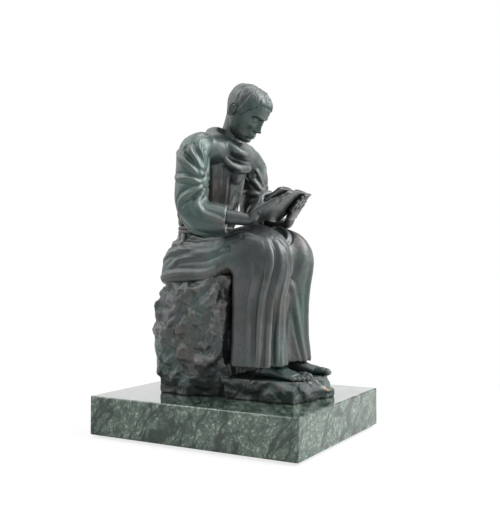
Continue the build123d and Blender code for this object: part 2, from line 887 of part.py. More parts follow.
def make_sleeve(side):
    """A wide sleeve, bagged under the elbow, with a hollow mouth round the forearm."""
    seam, shoulder, elbow = seam_point(side), shoulder_point(side), elbow_point(side)
    mouth, axis = sleeve_end(side), forearm_axis(side)
    upper = elbow - shoulder
    sag = Vector(0, 0, -sleeve_sag)
    out = Vector(side, 0, 0)
    down = (upper - out * upper.dot(out)).normalized()
    stations = [(seam, sleeve_radius, sleeve_radius)]
    for turn in (0, 16, 32, 48, 64, 80):
        ahead, drop = math.sin(math.radians(turn)), 1 - math.cos(math.radians(turn))
        centre = seam + (out * (0.14 + 1.1 * ahead) + down * (1.1 * drop)) * sleeve_radius
        stations.append((centre, sleeve_radius, sleeve_radius))
    lower = [
        (shoulder + out * (sleeve_radius * 0.35) + upper * 0.55, sleeve_radius,
         sleeve_radius * 0.95),
        (shoulder + upper * 0.85 + sag * 0.3, sleeve_radius * 0.98, sleeve_radius * 0.95),
        (elbow + axis * (sleeve_cover_length * 0.3) + sag * 0.7, sleeve_radius,
         sleeve_radius * 0.98),
        (mouth - axis * (sleeve_cover_length * 0.3) + sag * 0.8, sleeve_radius * 0.98,
         sleeve_radius),
        (mouth + sag * 0.7, sleeve_mouth_radius, sleeve_mouth_radius * 1.1),
    ]
    lower = fill([(*centre, wide, deep) for centre, wide, deep in lower], 2)
    stations += [(row[:3], *row[3:]) for row in lower]
    sleeve = limb(stations, (0, 1, 0), points=18)
    floor = mouth - axis * cuff_depth
    hollow = pocket(floor, mouth + axis * overrun, forearm_radius + seat_clearance, cuff_radius)
    return sleeve - (hollow + pin_hole(seam, (1, 0, 0)))


# Fingers from the first to the little one: the place across the palm, the length and the
# radius, as shares of the palm's half width and of the finger's own sizes.
finger_shares = ((0.76, 0.90, 1.0), (0.26, 1.0, 1.02), (-0.25, 0.96, 0.98), (-0.74, 0.78, 0.86))
# Joints of a finger: the way along it and the radius, as shares.
joint_shares = ((-0.15, 0.9), (0.10, 1.05), (0.45, 1.0), (0.78, 0.92), (0.95, 0.7), (1.0, 0.35))


def make_hand(side):
    """Forearm and hand in one casting: four fingers under the book, the thumb on its page."""
    wrist, axis = wrist_point(side), forearm_axis(side)
    foot = sleeve_end(side) - axis * cuff_depth
    palm_level = -(cover_thickness + palm_half_thickness + grip_clearance)
    finger_level = -(cover_thickness + finger_radius + grip_clearance)
    heel = book_point(side * (book_width / 2 + palm_half_width * 0.3), -book_height * 0.2,
                      palm_level)
    aim = book_point(side * book_width * 0.34, book_height * 0.2, palm_level)
    palm = (aim - heel).normalized()
    normal = book_plane().z_dir
    outer = Vector(side, 0, 0)
    outer = (outer - palm * outer.dot(palm)).normalized()
    knuckle = heel + palm * palm_length
    hand = limb([
        (foot, forearm_radius, forearm_radius),
        (foot + (wrist - foot) * 0.6, forearm_radius * 0.88, forearm_radius * 0.85),
        (wrist, wrist_radius, wrist_radius * 0.8),
        (heel, palm_half_width * 0.84, palm_half_thickness * 1.05),
        (heel + palm * palm_length * 0.5, palm_half_width, palm_half_thickness),
        (knuckle, palm_half_width * 0.97, palm_half_thickness * 0.72),
    ], outer, steps=2, points=12)
    lift = normal * (finger_level - palm_level)
    for spread, reach, size in finger_shares:
        root = knuckle + outer * (spread * palm_half_width) + lift
        way = palm * (finger_length * reach) - outer * (spread * finger_radius)
        hand = hand + limb([
            (root + way * share, finger_radius * size * radius, finger_radius * size * radius)
            for share, radius in joint_shares
        ], normal, points=6)
    edge = side * book_width / 2
    on_page = page_thickness + thumb_radius * 0.75
    thumb = [
        (heel + outer * (palm_half_width * 0.35), thumb_radius * 1.5, thumb_radius * 1.25),
        (book_point(edge + side * thumb_radius, -book_height * 0.02, -thumb_radius * 0.4),
         thumb_radius * 1.3, thumb_radius * 1.15),
        (book_point(edge - side * thumb_radius * 0.4, book_height * 0.05, on_page * 0.72),
         thumb_radius * 1.05, thumb_radius),
        (book_point(edge - side * thumb_radius * 2.4, book_height * 0.12, on_page * 0.94),
         thumb_radius, thumb_radius * 0.95),
        (book_point(edge - side * thumb_radius * 4.2, book_height * 0.17, on_page),
         thumb_radius * 0.8, thumb_radius * 0.75),
        (book_point(edge - side * thumb_radius * 4.7, book_height * 0.18, on_page),
         thumb_radius * 0.4, thumb_radius * 0.4),
    ]
    hand = hand + limb(thumb, normal, points=8)
    return hand - (book_board(grip_clearance) + book_pages(grip_clearance))


# Head and neck. Head rows from the chin to the crown: the height, the forward and backward
# reach and the half width, as shares of the head's sizes.
head_shares = (
    (0.00, 0.62, -0.20, 0.30), (0.045, 0.80, 0.05, 0.50), (0.13, 0.84, 0.38, 0.66),
    (0.25, 0.86, 0.66, 0.79), (0.36, 0.86, 0.80, 0.88), (0.48, 0.86, 0.92, 0.94),
    (0.60, 0.92, 1.00, 0.97), (0.72, 0.90, 1.02, 1.00), (0.84, 0.76, 0.94, 0.92),
    (0.93, 0.52, 0.72, 0.70), (0.985, 0.24, 0.38, 0.36), (1.00, 0.08, 0.14, 0.12),
)
# Features of the face: height share, degrees off the middle, spread in height, spread in
# degrees, and rise as a share of the nose's length.
feature_shares = (
    (0.375, 0, 0.050, 8, 0.95), (0.435, 0, 0.060, 6, 0.55), (0.50, 0, 0.060, 6, 0.35),
    (0.345, 11, 0.028, 6, 0.28), (0.575, 17, 0.030, 15, 0.24), (0.500, 20, 0.036, 9, -0.42),
    (0.400, 36, 0.060, 14, 0.22), (0.235, 0, 0.028, 15, 0.26), (0.165, 0, 0.022, 13, -0.20),
    (0.075, 0, 0.055, 16, 0.32), (0.300, 0, 0.020, 10, -0.12), (0.22, 42, 0.08, 14, -0.16),
)
face_angles = (0, 5, 10, 15, 20, 26, 33, 42, 54, 70, 90, 112, 136, 160)
# Hairline: degrees off the middle of the face, and its height as a share.
hairline_shares = ((0, 0.80), (30, 0.78), (50, 0.66), (72, 0.58), (100, 0.42), (140, 0.26),
                   (180, 0.22))
# Ear rows from the lobe up: height, backward lean and size as shares.
ear_shares = ((-0.5, 0.0, 0.45), (-0.25, 0.03, 0.8), (0.1, 0.1, 1.0), (0.35, 0.16, 1.0),
              (0.5, 0.2, 0.5))


def head_plane():
    """Local x runs across the face, local y out of the face, local z up to the crown."""
    bow = math.radians(head_bow)
    up = Vector(0, -math.sin(bow), math.cos(bow))
    face = Vector(0, -math.cos(bow), -math.sin(bow))
    top_of_neck = neck_seat() + neck_axis() * neck_length
    centre = top_of_neck + up * (head_height * 0.26) + face * (head_depth * 0.12)
    return on(centre, Vector(-1, 0, 0), face)


def hairline(degrees):
    for (left, low), (right, high) in zip(hairline_shares, hairline_shares[1:]):
        if degrees <= right:
            return low + (high - low) * (degrees - left) / (right - left)
    return hairline_shares[-1][1]


def head_section(row):
    height, forward, backward, wide = row
    plane = head_plane()
    level = (height - 0.5) * head_height
    angles = [-a for a in reversed(face_angles[1:])] + list(face_angles) + [180]
    outline = []
    for degrees in angles:
        ahead, aside = math.cos(math.radians(degrees)), math.sin(math.radians(degrees))
        reach = (forward if ahead > 0 else backward) * head_depth / 2
        off = abs(degrees)
        rise = sum(
            nose_length * share * bell(height - place, tall) * bell(off - spot, broad)
            for place, spot, tall, broad, share in feature_shares
        )
        rise += hair_rise * min(1, max(0, (height - hairline(off)) / 0.04)) * min(1, wide * 2)
        x = wide * head_width / 2 * power(aside, 0.92) + rise * aside
        y = reach * power(ahead, 0.92) + rise * ahead
        outline.append(plane.from_local_coords(Vector(x, y, level)))
    return outline


def make_head():
    plane = head_plane()
    seat = neck_seat()
    top_of_neck = seat + neck_axis() * neck_length
    head = skin([head_section(row) for row in fill(head_shares, 2)])
    head = head + limb([
        (seat, neck_radius, neck_radius),
        (seat + neck_axis() * neck_socket_depth, neck_radius, neck_radius),
        (top_of_neck, neck_radius * 1.02, neck_radius * 1.08),
        (plane.from_local_coords(Vector(0, -head_depth * 0.1, 0)), neck_radius, neck_radius),
    ], (1, 0, 0), points=20)
    for side in (-1, 1):
        ear = []
        for rise, lean, size in ear_shares:
            middle = plane.from_local_coords(Vector(
                side * (head_width / 2 + ear_thickness * 0.1),
                -head_depth * 0.06 - lean * ear_length, rise * ear_length - head_height * 0.05))
            ear.append((middle, ear_thickness / 2 * size, ear_length * 0.3 * size))
        head = head + limb(ear, plane.x_dir, points=8)
    bore = round_bar(seat, plane.from_local_coords(Vector(0, -head_depth * 0.1, 0)),
                     skull_bore_radius)
    return head - (bore + pin_hole(seat, neck_axis()))


# Feet. Foot rows from heel to toe: place along the foot, half width and height as shares.
foot_shares = (
    (0.00, 0.45, 0.40), (0.06, 0.66, 0.66), (0.20, 0.70, 0.98), (0.36, 0.74, 0.92),
    (0.55, 0.88, 0.64), (0.72, 1.00, 0.44), (0.80, 0.98, 0.36),
)
# Toes from the great toe out: place across, start, length and radius as shares.
toe_shares = ((0.72, 0.78, 1.15, 1.35), (0.28, 0.79, 1.1, 0.95), (-0.08, 0.78, 0.95, 0.9),
              (-0.42, 0.76, 0.85, 0.85), (-0.74, 0.73, 0.75, 0.85))
# A toe's stations: the way along it, the height of its middle and its radius, as shares.
toe_joint_shares = ((0.0, 1.0, 0.9), (0.45, 1.1, 1.0), (0.75, 0.85, 1.05), (0.95, 0.75, 0.8),
                    (1.05, 0.7, 0.4))


def make_foot(x, side):
    """A bare foot with its ankle. Side is the outer side of the foot."""
    turn = math.radians(toe_out) * side
    forward = Vector(math.sin(turn), -math.cos(turn), 0)
    inner = Vector(-math.cos(turn), -math.sin(turn), 0) * side
    heel = Vector(x, ankle_y, ledge_top) - forward * (foot_length * 0.22)
    sections = []
    for place, wide, high in fill(foot_shares, 2):
        half_height = instep_height * high / 2
        centre = heel + forward * (place * foot_length) + Vector(0, 0, half_height * 0.86)
        sections.append(oval(on(centre, inner * side, (0, 0, 1)), foot_half_width * wide,
                             half_height, 0.8, 12))
    foot = skin(sections)
    for across, start, long, size in toe_shares:
        radius = toe_radius * size
        root = heel + forward * (start * foot_length) + inner * (across * foot_half_width)
        foot = foot + limb([
            (root + forward * (toe_length * long * share) + Vector(0, 0, radius * lift),
             radius * wide, radius * wide)
            for share, lift, wide in toe_joint_shares
        ], (0, 0, 1), points=6)
    ankle = limb([
        (Vector(x, ankle_y, ledge_top + instep_height * 0.3), ankle_radius, ankle_radius * 1.1),
        (Vector(x, ankle_y, hem_roof), ankle_radius, ankle_radius),
        (Vector(x, ankle_y, hem_roof + ankle_tenon), ankle_radius, ankle_radius),
    ], (1, 0, 0), points=20)
    ledge = Pos(0, 0, ledge_top - slab_length / 2) * Box(slab_length, slab_length, slab_length)
    return foot + ankle - ledge


# Dowel pins
def make_waist_pins():
    return Compound(children=[
        pin((x, y, girdle_seam), (0, 0, 1)) for x, y in waist_pin_places()
    ])


def make_shoulder_pins():
    return Compound(children=[pin(seam_point(side), (1, 0, 0)) for side in (-1, 1)])


def make_neck_pin():
    return pin(neck_seat(), neck_axis())


pieces = {
    "marble_slab": make_marble_slab,
    "felt_pads": make_felt_pads,
    "mounting_bolts": make_mounting_bolts,
    "mounting_strap": make_mounting_strap,
    "rock_seat": make_rock_seat,
    "seat_screws": make_seat_screws,
    "robe_skirt": make_robe_skirt,
    "girdle": make_girdle,
    "torso": make_torso,
    "head": make_head,
    "right_sleeve": lambda: make_sleeve(-1),
    "left_sleeve": lambda: make_sleeve(1),
    "right_hand": lambda: make_hand(-1),
    "left_hand": lambda: make_hand(1),
    "right_foot": lambda: make_foot(-ankle_spacing / 2, -1),
    "left_foot": lambda: make_foot(ankle_spacing / 2, 1),
    "book_cover": book_board,
    "book_pages": book_pages,
    "waist_pins": make_waist_pins,
    "neck_pin": make_neck_pin,
    "shoulder_pins": make_shoulder_pins,
}

os.makedirs("parts", exist_ok=True)
for name, make in pieces.items():
    export_step(make(), f"parts/{name}.step")
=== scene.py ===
"""Looks of the bronze reader: a robed figure with an open book, seated on a hewn rock that stands
on a polished green marble slab. Shapes are worked out in millimetres and put into the meshes in
metres, in the same frame as the solid model: +Z up, the reader faces -Y."""

import math

import bpy
import numpy as np
from bpy.props import FloatProperty, FloatVectorProperty, PointerProperty
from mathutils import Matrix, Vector


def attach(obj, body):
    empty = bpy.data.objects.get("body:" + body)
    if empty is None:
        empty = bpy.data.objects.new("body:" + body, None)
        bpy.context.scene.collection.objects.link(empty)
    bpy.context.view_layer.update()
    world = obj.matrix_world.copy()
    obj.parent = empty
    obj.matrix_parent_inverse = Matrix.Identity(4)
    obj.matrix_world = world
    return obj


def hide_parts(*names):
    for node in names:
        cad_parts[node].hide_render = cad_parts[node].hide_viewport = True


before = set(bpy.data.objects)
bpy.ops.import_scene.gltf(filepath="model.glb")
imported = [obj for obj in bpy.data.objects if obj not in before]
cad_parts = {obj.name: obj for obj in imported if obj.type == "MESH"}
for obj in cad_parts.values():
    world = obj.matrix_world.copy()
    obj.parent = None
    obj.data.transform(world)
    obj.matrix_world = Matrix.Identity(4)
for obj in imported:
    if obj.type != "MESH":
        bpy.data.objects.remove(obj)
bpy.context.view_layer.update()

bl_info = {
    "name": "Bronze Reader on a Marble Slab",
    "version": (1, 0, 0),
    "blender": (4, 5, 0),
    "location": "View3D > Sidebar > Bronze Reader",
    "description": "Sculpts the surfaces and finishes of a small bronze statue",
    "category": "Object",
}

MM = 0.001

# Shared places of the solid model, in millimetres
SLAB_TOP = 32.0
SEAT_TOP = 126.0
LEDGE_TOP = 48.0
ROCK_FRONT = -11.0
GIRDLE_Z = 162.0
SPINE_Y = 30.0
COLLAR_Y = 10.0
COLLAR_Z = 239.0
HEM_Z = 58.0
ANKLE_Y = ROCK_FRONT - 25.0
TORSO_HEIGHT = COLLAR_Z - GIRDLE_Z
TORSO_LEAN = SPINE_Y - COLLAR_Y
SHOULDER_Y = 14.1
SHOULDER_Z = 225.0
SEAM_X = 30.0

# Sizes of the rock and the figure, in millimetres
BLOCK_SIZE = (82.0, 72.0, 94.0)
LEDGE_SIZE = (74.0, 71.0, 16.0)
LEDGE_OVERLAP = 5.0
SKIRT_HALF_WIDTH = 37.0
SKIRT_DEPTH = 49.0
SKIRT_DROP = 66.8
SEAT_RUN = 64.0
VALLEY_DEPTH = 9.0
DRAPE_SINK = 9.0
PIPE_DEPTH = 3.0
PULL_HEIGHT = 2.6
PULL_WIDTH = 5.0
WAIST_HALF_WIDTH = 26.0
WAIST_HALF_DEPTH = 19.0
SLEEVE_RADIUS = 13.0
UPPER_ARM = 54.0
FOREARM = 46.0
FOREARM_IN_SLEEVE = 27.0
HOOD_HALF_WIDTH = 42.0
HOOD_DROP = 48.0
HOOD_THICKNESS = 11.0
COLLAR_SINK = 6.0
NECK_SINK = 8.0
NECK_LENGTH = 27.0
HEAD_ABOVE_NECK = 10.92
HEAD_BEFORE_NECK = 4.32
HEAD_HALF_WIDTH = 15.0
HEAD_HALF_DEPTH = 18.0
HEAD_HEIGHT = 42.0
BOOK_HALF_WIDTH = 27.0
BOOK_HALF_HEIGHT = 19.0
BOOK_HEIGHT = 38.0
BOARD_THICKNESS = 1.4
PAGES_HEIGHT = 3.6
PAGES_HALF_WIDTH = 25.2
PAGES_HALF_HEIGHT = 17.2
BOOK_BEFORE_ROCK = 10.0
BOOK_ABOVE_SEAT = 44.0
WRIST_RADIUS = 4.6
PALM_HALF_WIDTH = 7.2
PALM_HALF_DEPTH = 3.0
PALM_LENGTH = 15.0
FINGER_LENGTH = 17.0
FINGER_RADIUS = 1.9
THUMB_RADIUS = 2.3
TOUCH_GAP = 0.05
FOOT_X = 17.0
FOOT_LENGTH = 46.0
FOOT_HALF_WIDTH = 8.6
FOOT_HEIGHT = 15.0
TOE_LENGTH = 9.0
TOE_RADIUS = 2.1
PAD_HALF_WIDTH = 9.0
PAD_PLACES = ((-57.0, -73.0), (-57.0, 73.0), (57.0, -73.0), (57.0, 73.0))

# Widths of the small squares of the melted skins, in millimetres
ROCK_GRAIN = 0.80
SKIRT_GRAIN = 0.78
UPPER_ROBE_GRAIN = 0.72
FOOT_GRAIN = 0.36
HAND_GRAIN = 0.34
EAR_GRAIN = 0.24

# Leans, in radians
COWL_TILT = math.radians(26)
BOOK_TILT = math.radians(34)
HEAD_BOW = math.radians(36)
FOOT_TURN = math.radians(9)

# Stage, in metres: each lamp's name, place, width and share of the key light
LAMPS = (
    ("key", (0.27, -0.58, 0.80), 0.62, 0.9),
    ("side", (0.95, -2.10, 1.00), 3.20, 7.4),
    ("top", (-0.10, 0.05, 0.98), 1.20, 0.85),
    ("back", (-0.35, 0.72, 0.66), 0.95, 0.45),
    ("fill", (-0.85, -0.35, 0.45), 0.60, 0.05),
)
LAMP_AIM = (0, -0.01, 0.15)
CAMERA_PLACE = (-0.5206, -0.3083, 0.1292)
CAMERA_BACK = (-0.8681, -0.4957, -0.0230)
FLOOR_HALF_WIDTH = 6.0


# ---------------------------------------------------------------- sculpting tools
def unit(vectors):
    """Vectors at length one."""
    vectors = np.asarray(vectors, float)
    return vectors / np.maximum(np.linalg.norm(vectors, axis=-1, keepdims=True), 1e-9)


def power(value, exponent):
    """A signed power, which squares off an oval when the exponent is under 1."""
    return np.sign(value) * np.abs(value) ** exponent


def bell(distance, spread):
    """1 at no distance, falling on a Gaussian curve."""
    return np.exp(-((distance / spread) ** 2))


def ease(value, low, high):
    """0 up to low, 1 from high, and a smooth step between."""
    part = np.clip((value - low) / (high - low), 0, 1)
    return part * part * (3 - 2 * part)


def smooth_rows(table, at):
    """A table's rows read at places counted in rows, on a Catmull-Rom curve through them."""
    table = np.asarray(table, float)
    at = np.asarray(at, float)
    k = np.clip(np.floor(at).astype(int), 0, len(table) - 2)
    t = (at - k)[:, None]

    def row(step):
        return table[np.clip(k + step, 0, len(table) - 1)]

    return ((-t + 2 * t**2 - t**3) * row(-1) + (2 - 5 * t**2 + 3 * t**3) * row(0)
            + (t + 4 * t**2 - 3 * t**3) * row(1) + (t**3 - t**2) * row(2)) / 2


def noise(points, size, seed, octaves=1):
    """Smooth noise from -1 to 1: random values on a lattice of the given size, blended between
    its corners, with finer octaves at half the size and strength of the one before."""
    total, reach = 0, 0
    for octave in range(octaves):
        place = points / size * 2**octave + 31.7 * octave
        base = np.floor(place).astype(np.int64)
        part = place - base
        part = part * part * (3 - 2 * part)
        value = 0
        for corner in range(8):
            step = np.array([corner & 1, corner >> 1 & 1, corner >> 2])
            cell = base + step
            code = (cell[..., 0] * 374761393 + cell[..., 1] * 668265263
                    + cell[..., 2] * 2147483647 + (seed + octave) * 1274126177) & 0xFFFFFFFF
            code = (code ^ (code >> 13)) * 1274126177 & 0xFFFFFFFF
            code = code ^ (code >> 16)
            weight = np.prod(np.where(step, part, 1 - part), axis=-1)
            value = value + weight * (code / 0x7FFFFFFF - 1)
        total = total + value * 0.5**octave
        reach += 0.5**octave
    return total / reach


def facing(form):
    """Normals of a form's points, from the faces around each."""
    points, faces = form
    corners = points[faces]
    flat = np.cross(corners[:, 2] - corners[:, 0], corners[:, 3] - corners[:, 1])
    index = faces.ravel()
    count = len(points)
    return unit(np.stack([np.bincount(index, np.repeat(flat[:, axis], 4), count)
                          for axis in range(3)], axis=1))


def eased(form, values, rounds):
    """Values on a form's points, evened out with their neighbours' a number of times."""
    points, faces = form
    start = faces.ravel()
    end = np.roll(faces, -1, axis=1).ravel()
    a, b = np.concatenate([start, end]), np.concatenate([end, start])
    keep = a != b
    a, b = a[keep], b[keep]
    count = np.maximum(np.bincount(a, minlength=len(points)), 1)
    values = np.atleast_2d(values.T).T
    for _ in range(rounds):
        mean = np.stack([np.bincount(a, values[b, axis], len(points)) / count
                         for axis in range(values.shape[1])], axis=1)
        values = (values + mean) / 2
    return values


def grid(points, ring=True):
    """A closed form from rows of points that run round it. The end rows are drawn to poles."""
    rows, columns = points.shape[:2]
    i, j = np.meshgrid(np.arange(rows - 1), np.arange(columns), indexing="ij")
    after = (j + 1) % columns
    faces = np.stack([i * columns + j, i * columns + after, (i + 1) * columns + after,
                      (i + 1) * columns + j], axis=-1).reshape(-1, 4)
    flat = points.reshape(-1, 3)
    if ring:
        j = np.arange(columns)
        after = (j + 1) % columns
        low, high = len(flat), len(flat) + 1
        last = (rows - 1) * columns
        flat = np.vstack([flat, points[0].mean(axis=0), points[-1].mean(axis=0)])
        lower = np.stack([np.full(columns, low), after, j, j], axis=1)
        upper = np.stack([np.full(columns, high), last + j, last + after, last + after], axis=1)
        faces = np.vstack([faces, lower, upper])
    return outward((flat, faces))


def loop(points):
    """A closed form from rows of points whose last row joins its first, such as a ring."""
    rows, columns = points.shape[:2]
    i, j = np.meshgrid(np.arange(rows), np.arange(columns), indexing="ij")
    below, after = (i + 1) % rows, (j + 1) % columns
    faces = np.stack([i * columns + j, i * columns + after, below * columns + after,
                      below * columns + j], axis=-1).reshape(-1, 4)
    return outward((points.reshape(-1, 3), faces))


def outward(form):
    """Turns a closed form's faces outwards, by the sign of its volume."""
    points, faces = form
    a, b, c, d = (points[faces[:, k]] for k in range(4))
    size = np.sum(a * np.cross(b, c)) + np.sum(a * np.cross(c, d))
    return (points, faces) if size > 0 else (points, faces[:, ::-1].copy()[:, [1, 2, 3, 0]])


def together(*forms):
    """Several forms as one."""
    points, faces, shift = [], [], 0
    for form in forms:
        points.append(form[0])
        faces.append(form[1] + shift)
        shift += len(form[0])
    return np.vstack(points), np.vstack(faces)


def polygons(faces):
    """Faces as lists of corners. A triangle is kept as a face that repeats a corner."""
    same = (faces[:, 2] == faces[:, 3]) | (faces[:, 0] == faces[:, 3])
    pinch = faces[:, 0] == faces[:, 1]
    quads = faces[~(same | pinch)].tolist()
    return quads + faces[same & ~pinch][:, :3].tolist() + faces[pinch][:, 1:].tolist()


def melt(form, grain, rounds=0):
    """Melts overlapping forms into one skin of even small squares, then evens it out."""
    points, faces = form
    mesh = bpy.data.meshes.new("melt")
    mesh.from_pydata(points, [], polygons(faces))
    thing = bpy.data.objects.new("melt", mesh)
    bpy.context.scene.collection.objects.link(thing)
    remesh = thing.modifiers.new("Remesh", "REMESH")
    remesh.mode = "VOXEL"
    remesh.voxel_size = grain
    done = thing.evaluated_get(bpy.context.evaluated_depsgraph_get())
    skin = done.to_mesh()
    points = np.empty(len(skin.vertices) * 3)
    skin.vertices.foreach_get("co", points)
    corners = np.empty(len(skin.loops), np.int64)
    skin.loops.foreach_get("vertex_index", corners)
    done.to_mesh_clear()
    bpy.data.objects.remove(thing)
    bpy.data.meshes.remove(mesh)
    form = points.reshape(-1, 3), corners.reshape(-1, 4)
    return eased(form, form[0], rounds), form[1]


def slopes(surface):
    """Normals of a surface of rows and columns, pointing away from its middle."""
    normal = unit(np.cross(np.gradient(surface, axis=0),
                           np.roll(surface, -1, axis=1) - np.roll(surface, 1, axis=1)))
    out = surface - surface.mean(axis=1, keepdims=True)
    return normal * np.sign(np.sum(normal * out))


def trace(surface, path, steps=24):
    """A smooth path over a surface of rows and columns, given as shares of both, with the
    surface's normals along it."""
    path = smooth_rows(path, np.linspace(0, len(path) - 1, steps))
    surface = np.concatenate([surface, slopes(surface)], axis=-1)
    rows, columns = surface.shape[:2]
    across = (path[:, 1] % 1.0) * columns
    down = np.clip(path[:, 0], 0, 1) * (rows - 1)
    i = np.clip(np.floor(down).astype(int), 0, rows - 2)
    j = np.floor(across).astype(int) % columns
    s, t = (down - i)[:, None], (across - np.floor(across))[:, None]
    after = (j + 1) % columns
    return ((1 - s) * ((1 - t) * surface[i, j] + t * surface[i, after])
            + s * ((1 - t) * surface[i + 1, j] + t * surface[i + 1, after]))


def near(points, path):
    """The distance from each point to a path, and how far along the path that is, 0 to 1."""
    best = np.full(len(points), 1e9)
    along = np.zeros(len(points))
    for k in range(len(path) - 1):
        start, run = path[k], path[k + 1] - path[k]
        share = np.clip((points - start) @ run / max(run @ run, 1e-9), 0, 1)
        far = np.linalg.norm(points - start - share[:, None] * run, axis=1)
        closer = far < best
        best[closer] = far[closer]
        along[closer] = (k + share[closer]) / (len(path) - 1)
    return best, along


def press(form, folds):
    """Presses folds into a form. A fold is a path, a width, a height and how its height runs
    along it. Each is a rounded ridge with a hollow at either side, measured by the distance
    from its path, and it acts only where the skin faces as the path's normals do."""
    points, faces = form
    normal = facing(form)
    rise = np.zeros(len(points))
    for path, width, height, shape in folds:
        path, facing_out = path[:, :3], path[:, 3:]
        low, high = path.min(axis=0) - 3 * width, path.max(axis=0) + 3 * width
        chosen = np.flatnonzero(np.all((points > low) & (points < high), axis=1))
        if not len(chosen):
            continue
        far, along = near(points[chosen], path)
        size = smooth_rows(np.array(shape)[:, None], along * (len(shape) - 1))[:, 0]
        size = np.maximum(size, 0)
        spread = width * (0.55 + 0.45 * size)
        ridge = np.exp(-((far / spread) ** 2)) - 0.5 * np.exp(
            -(((far / spread) - 1.75) / 0.62) ** 2)
        if facing_out.shape[1]:
            there = facing_out[np.round(along * (len(path) - 1)).astype(int)]
            size = size * ease(np.sum(normal[chosen] * there, axis=1), 0.0, 0.6)
        rise[chosen] += height * size * ridge
    return points + normal * rise[:, None], faces


def raise_by(form, amount):
    """A form whose points are moved along their normals."""
    return form[0] + facing(form) * np.asarray(amount)[:, None], form[1]


def tube(path, across, outline, square=1.0, columns=20, rows=None):
    """A form carried along a path. The outline table holds the half sizes across and out at
    each point of the path, and both are read on smooth curves."""
    path = np.asarray(path, float)
    places = np.linspace(0, len(path) - 1, rows or len(path) * 4)
    centres = smooth_rows(path, places)
    sizes = smooth_rows(outline, places)
    return grid(rings(centres, across, sizes, square, columns))


def rings(centres, across, sizes, square=1.0, columns=20, start=None):
    """Rows of points round a way of centres, each square to the way and not twisted."""
    ahead = unit(np.gradient(centres, axis=0))
    if start is not None:
        ahead[0] = start
    side = np.asarray(across, float)
    sides = []
    for direction in ahead:
        side = side - direction * (side @ direction)
        side = side / np.linalg.norm(side)
        sides.append(side)
    sides = np.array(sides)
    outs = np.cross(ahead, sides)
    angle = 2 * np.pi * (np.arange(columns) + 0.5) / columns
    x = sizes[:, :1] * power(np.cos(angle), square)
    y = sizes[:, 1:2] * power(np.sin(angle), square)
    return (centres[:, None] + x[..., None] * sides[:, None] + y[..., None] * outs[:, None])


def ball(centre, x_size, y_size, z_size, axes=np.eye(3), columns=28):
    """An egg form with its three half sizes along the axes given."""
    turn = np.linspace(0.06, np.pi - 0.06, columns // 2)[:, None]
    angle = np.linspace(0, 2 * np.pi, columns, endpoint=False)
    local = np.stack([np.sin(turn) * np.cos(angle) * x_size,
                      np.sin(turn) * np.sin(angle) * y_size,
                      np.cos(turn) * z_size + 0 * angle], axis=-1)
    return grid(np.asarray(centre, float) + local @ np.asarray(axes, float))


def clipped_rectangle(half_width, half_height, clip, count):
    """The outline of a rectangle with clipped corners: each point lies where a ray from the
    middle meets the nearest side, drawn in where the two reaches add up to too much."""
    angle = np.linspace(0, 2 * np.pi, count, endpoint=False)
    half = np.array([half_width, half_height])
    way = np.stack([np.cos(angle), np.sin(angle)], axis=-1)
    rim = way / np.max(np.abs(way) / half, axis=1, keepdims=True)
    rim = np.sign(rim) * np.minimum(np.abs(rim), half)
    cut = np.maximum(0, np.abs(rim).sum(axis=1) - (half.sum() - clip))[:, None] / 2
    return rim - np.sign(rim) * cut


def hollow_and_ridge(form, rounds=(6, 45), scale=(0.10, 0.55)):
    """-1 in the hollows of a form and 1 on its ridges: how far each point stands out from the
    form evened out over a small and over a wide reach."""
    normal = facing(form)
    total = 0
    for count, size in zip(rounds, scale):
        soft = eased(form, form[0], count)
        stand = np.sum((form[0] - soft) * normal, axis=1)
        total = total + np.tanh(stand / size)
    return total / len(rounds)


def cast(name, form, finish, nodes=(), body="root", wear=True):
    """Puts a form into a mesh as one piece of the statue, which rides on the body and stands
    for the nodes."""
    points, faces = form
    mesh = bpy.data.meshes.new(name)
    mesh.from_pydata(points * MM, [], polygons(faces))
    mesh.polygons.foreach_set("use_smooth", np.ones(len(mesh.polygons), bool))
    # wear runs from -1 in the hollows to 1 on the ridges: the bronze reads it for rubbed ridges,
    # for patina in the hollows and for painted shade there
    if wear:
        worn = mesh.attributes.new("wear", "FLOAT", "POINT")
        worn.data.foreach_set("value", hollow_and_ridge(form).astype(np.float32))
    mesh.update()
    thing = bpy.data.objects.new(name, mesh)
    bpy.context.scene.collection.objects.link(thing)
    mesh.materials.append(finish)
    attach(thing, body)
    if nodes:
        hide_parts(*nodes)
    return thing


# ---------------------------------------------------------------- finishes
class Value:
    """A shader socket that takes part in Python sums."""

    def __init__(self, nodes, socket):
        self.nodes, self.socket = nodes, socket

    def math(self, operation, first, second=None):
        inputs = {0: first} if second is None else {0: first, 1: second}
        return self.nodes.node("ShaderNodeMath", {"operation": operation}, inputs)

    def __add__(self, other):
        return self.math("ADD", self, other)

    def __radd__(self, other):
        return self.math("ADD", other, self)

    def __sub__(self, other):
        return self.math("SUBTRACT", self, other)

    def __rsub__(self, other):
        return self.math("SUBTRACT", other, self)

    def __mul__(self, other):
        return self.math("MULTIPLY", self, other)

    def __rmul__(self, other):
        return self.math("MULTIPLY", other, self)

    def size(self):
        """The value without its sign."""
        return self.math("ABSOLUTE", self)

    def capped(self):
        """The value kept between 0 and 1."""
        return self.nodes.node("ShaderNodeClamp", {}, {"Value": self})

    def beside(self, output):
        """Another output of the same node."""
        return Value(self.nodes, self.socket.node.outputs[output])


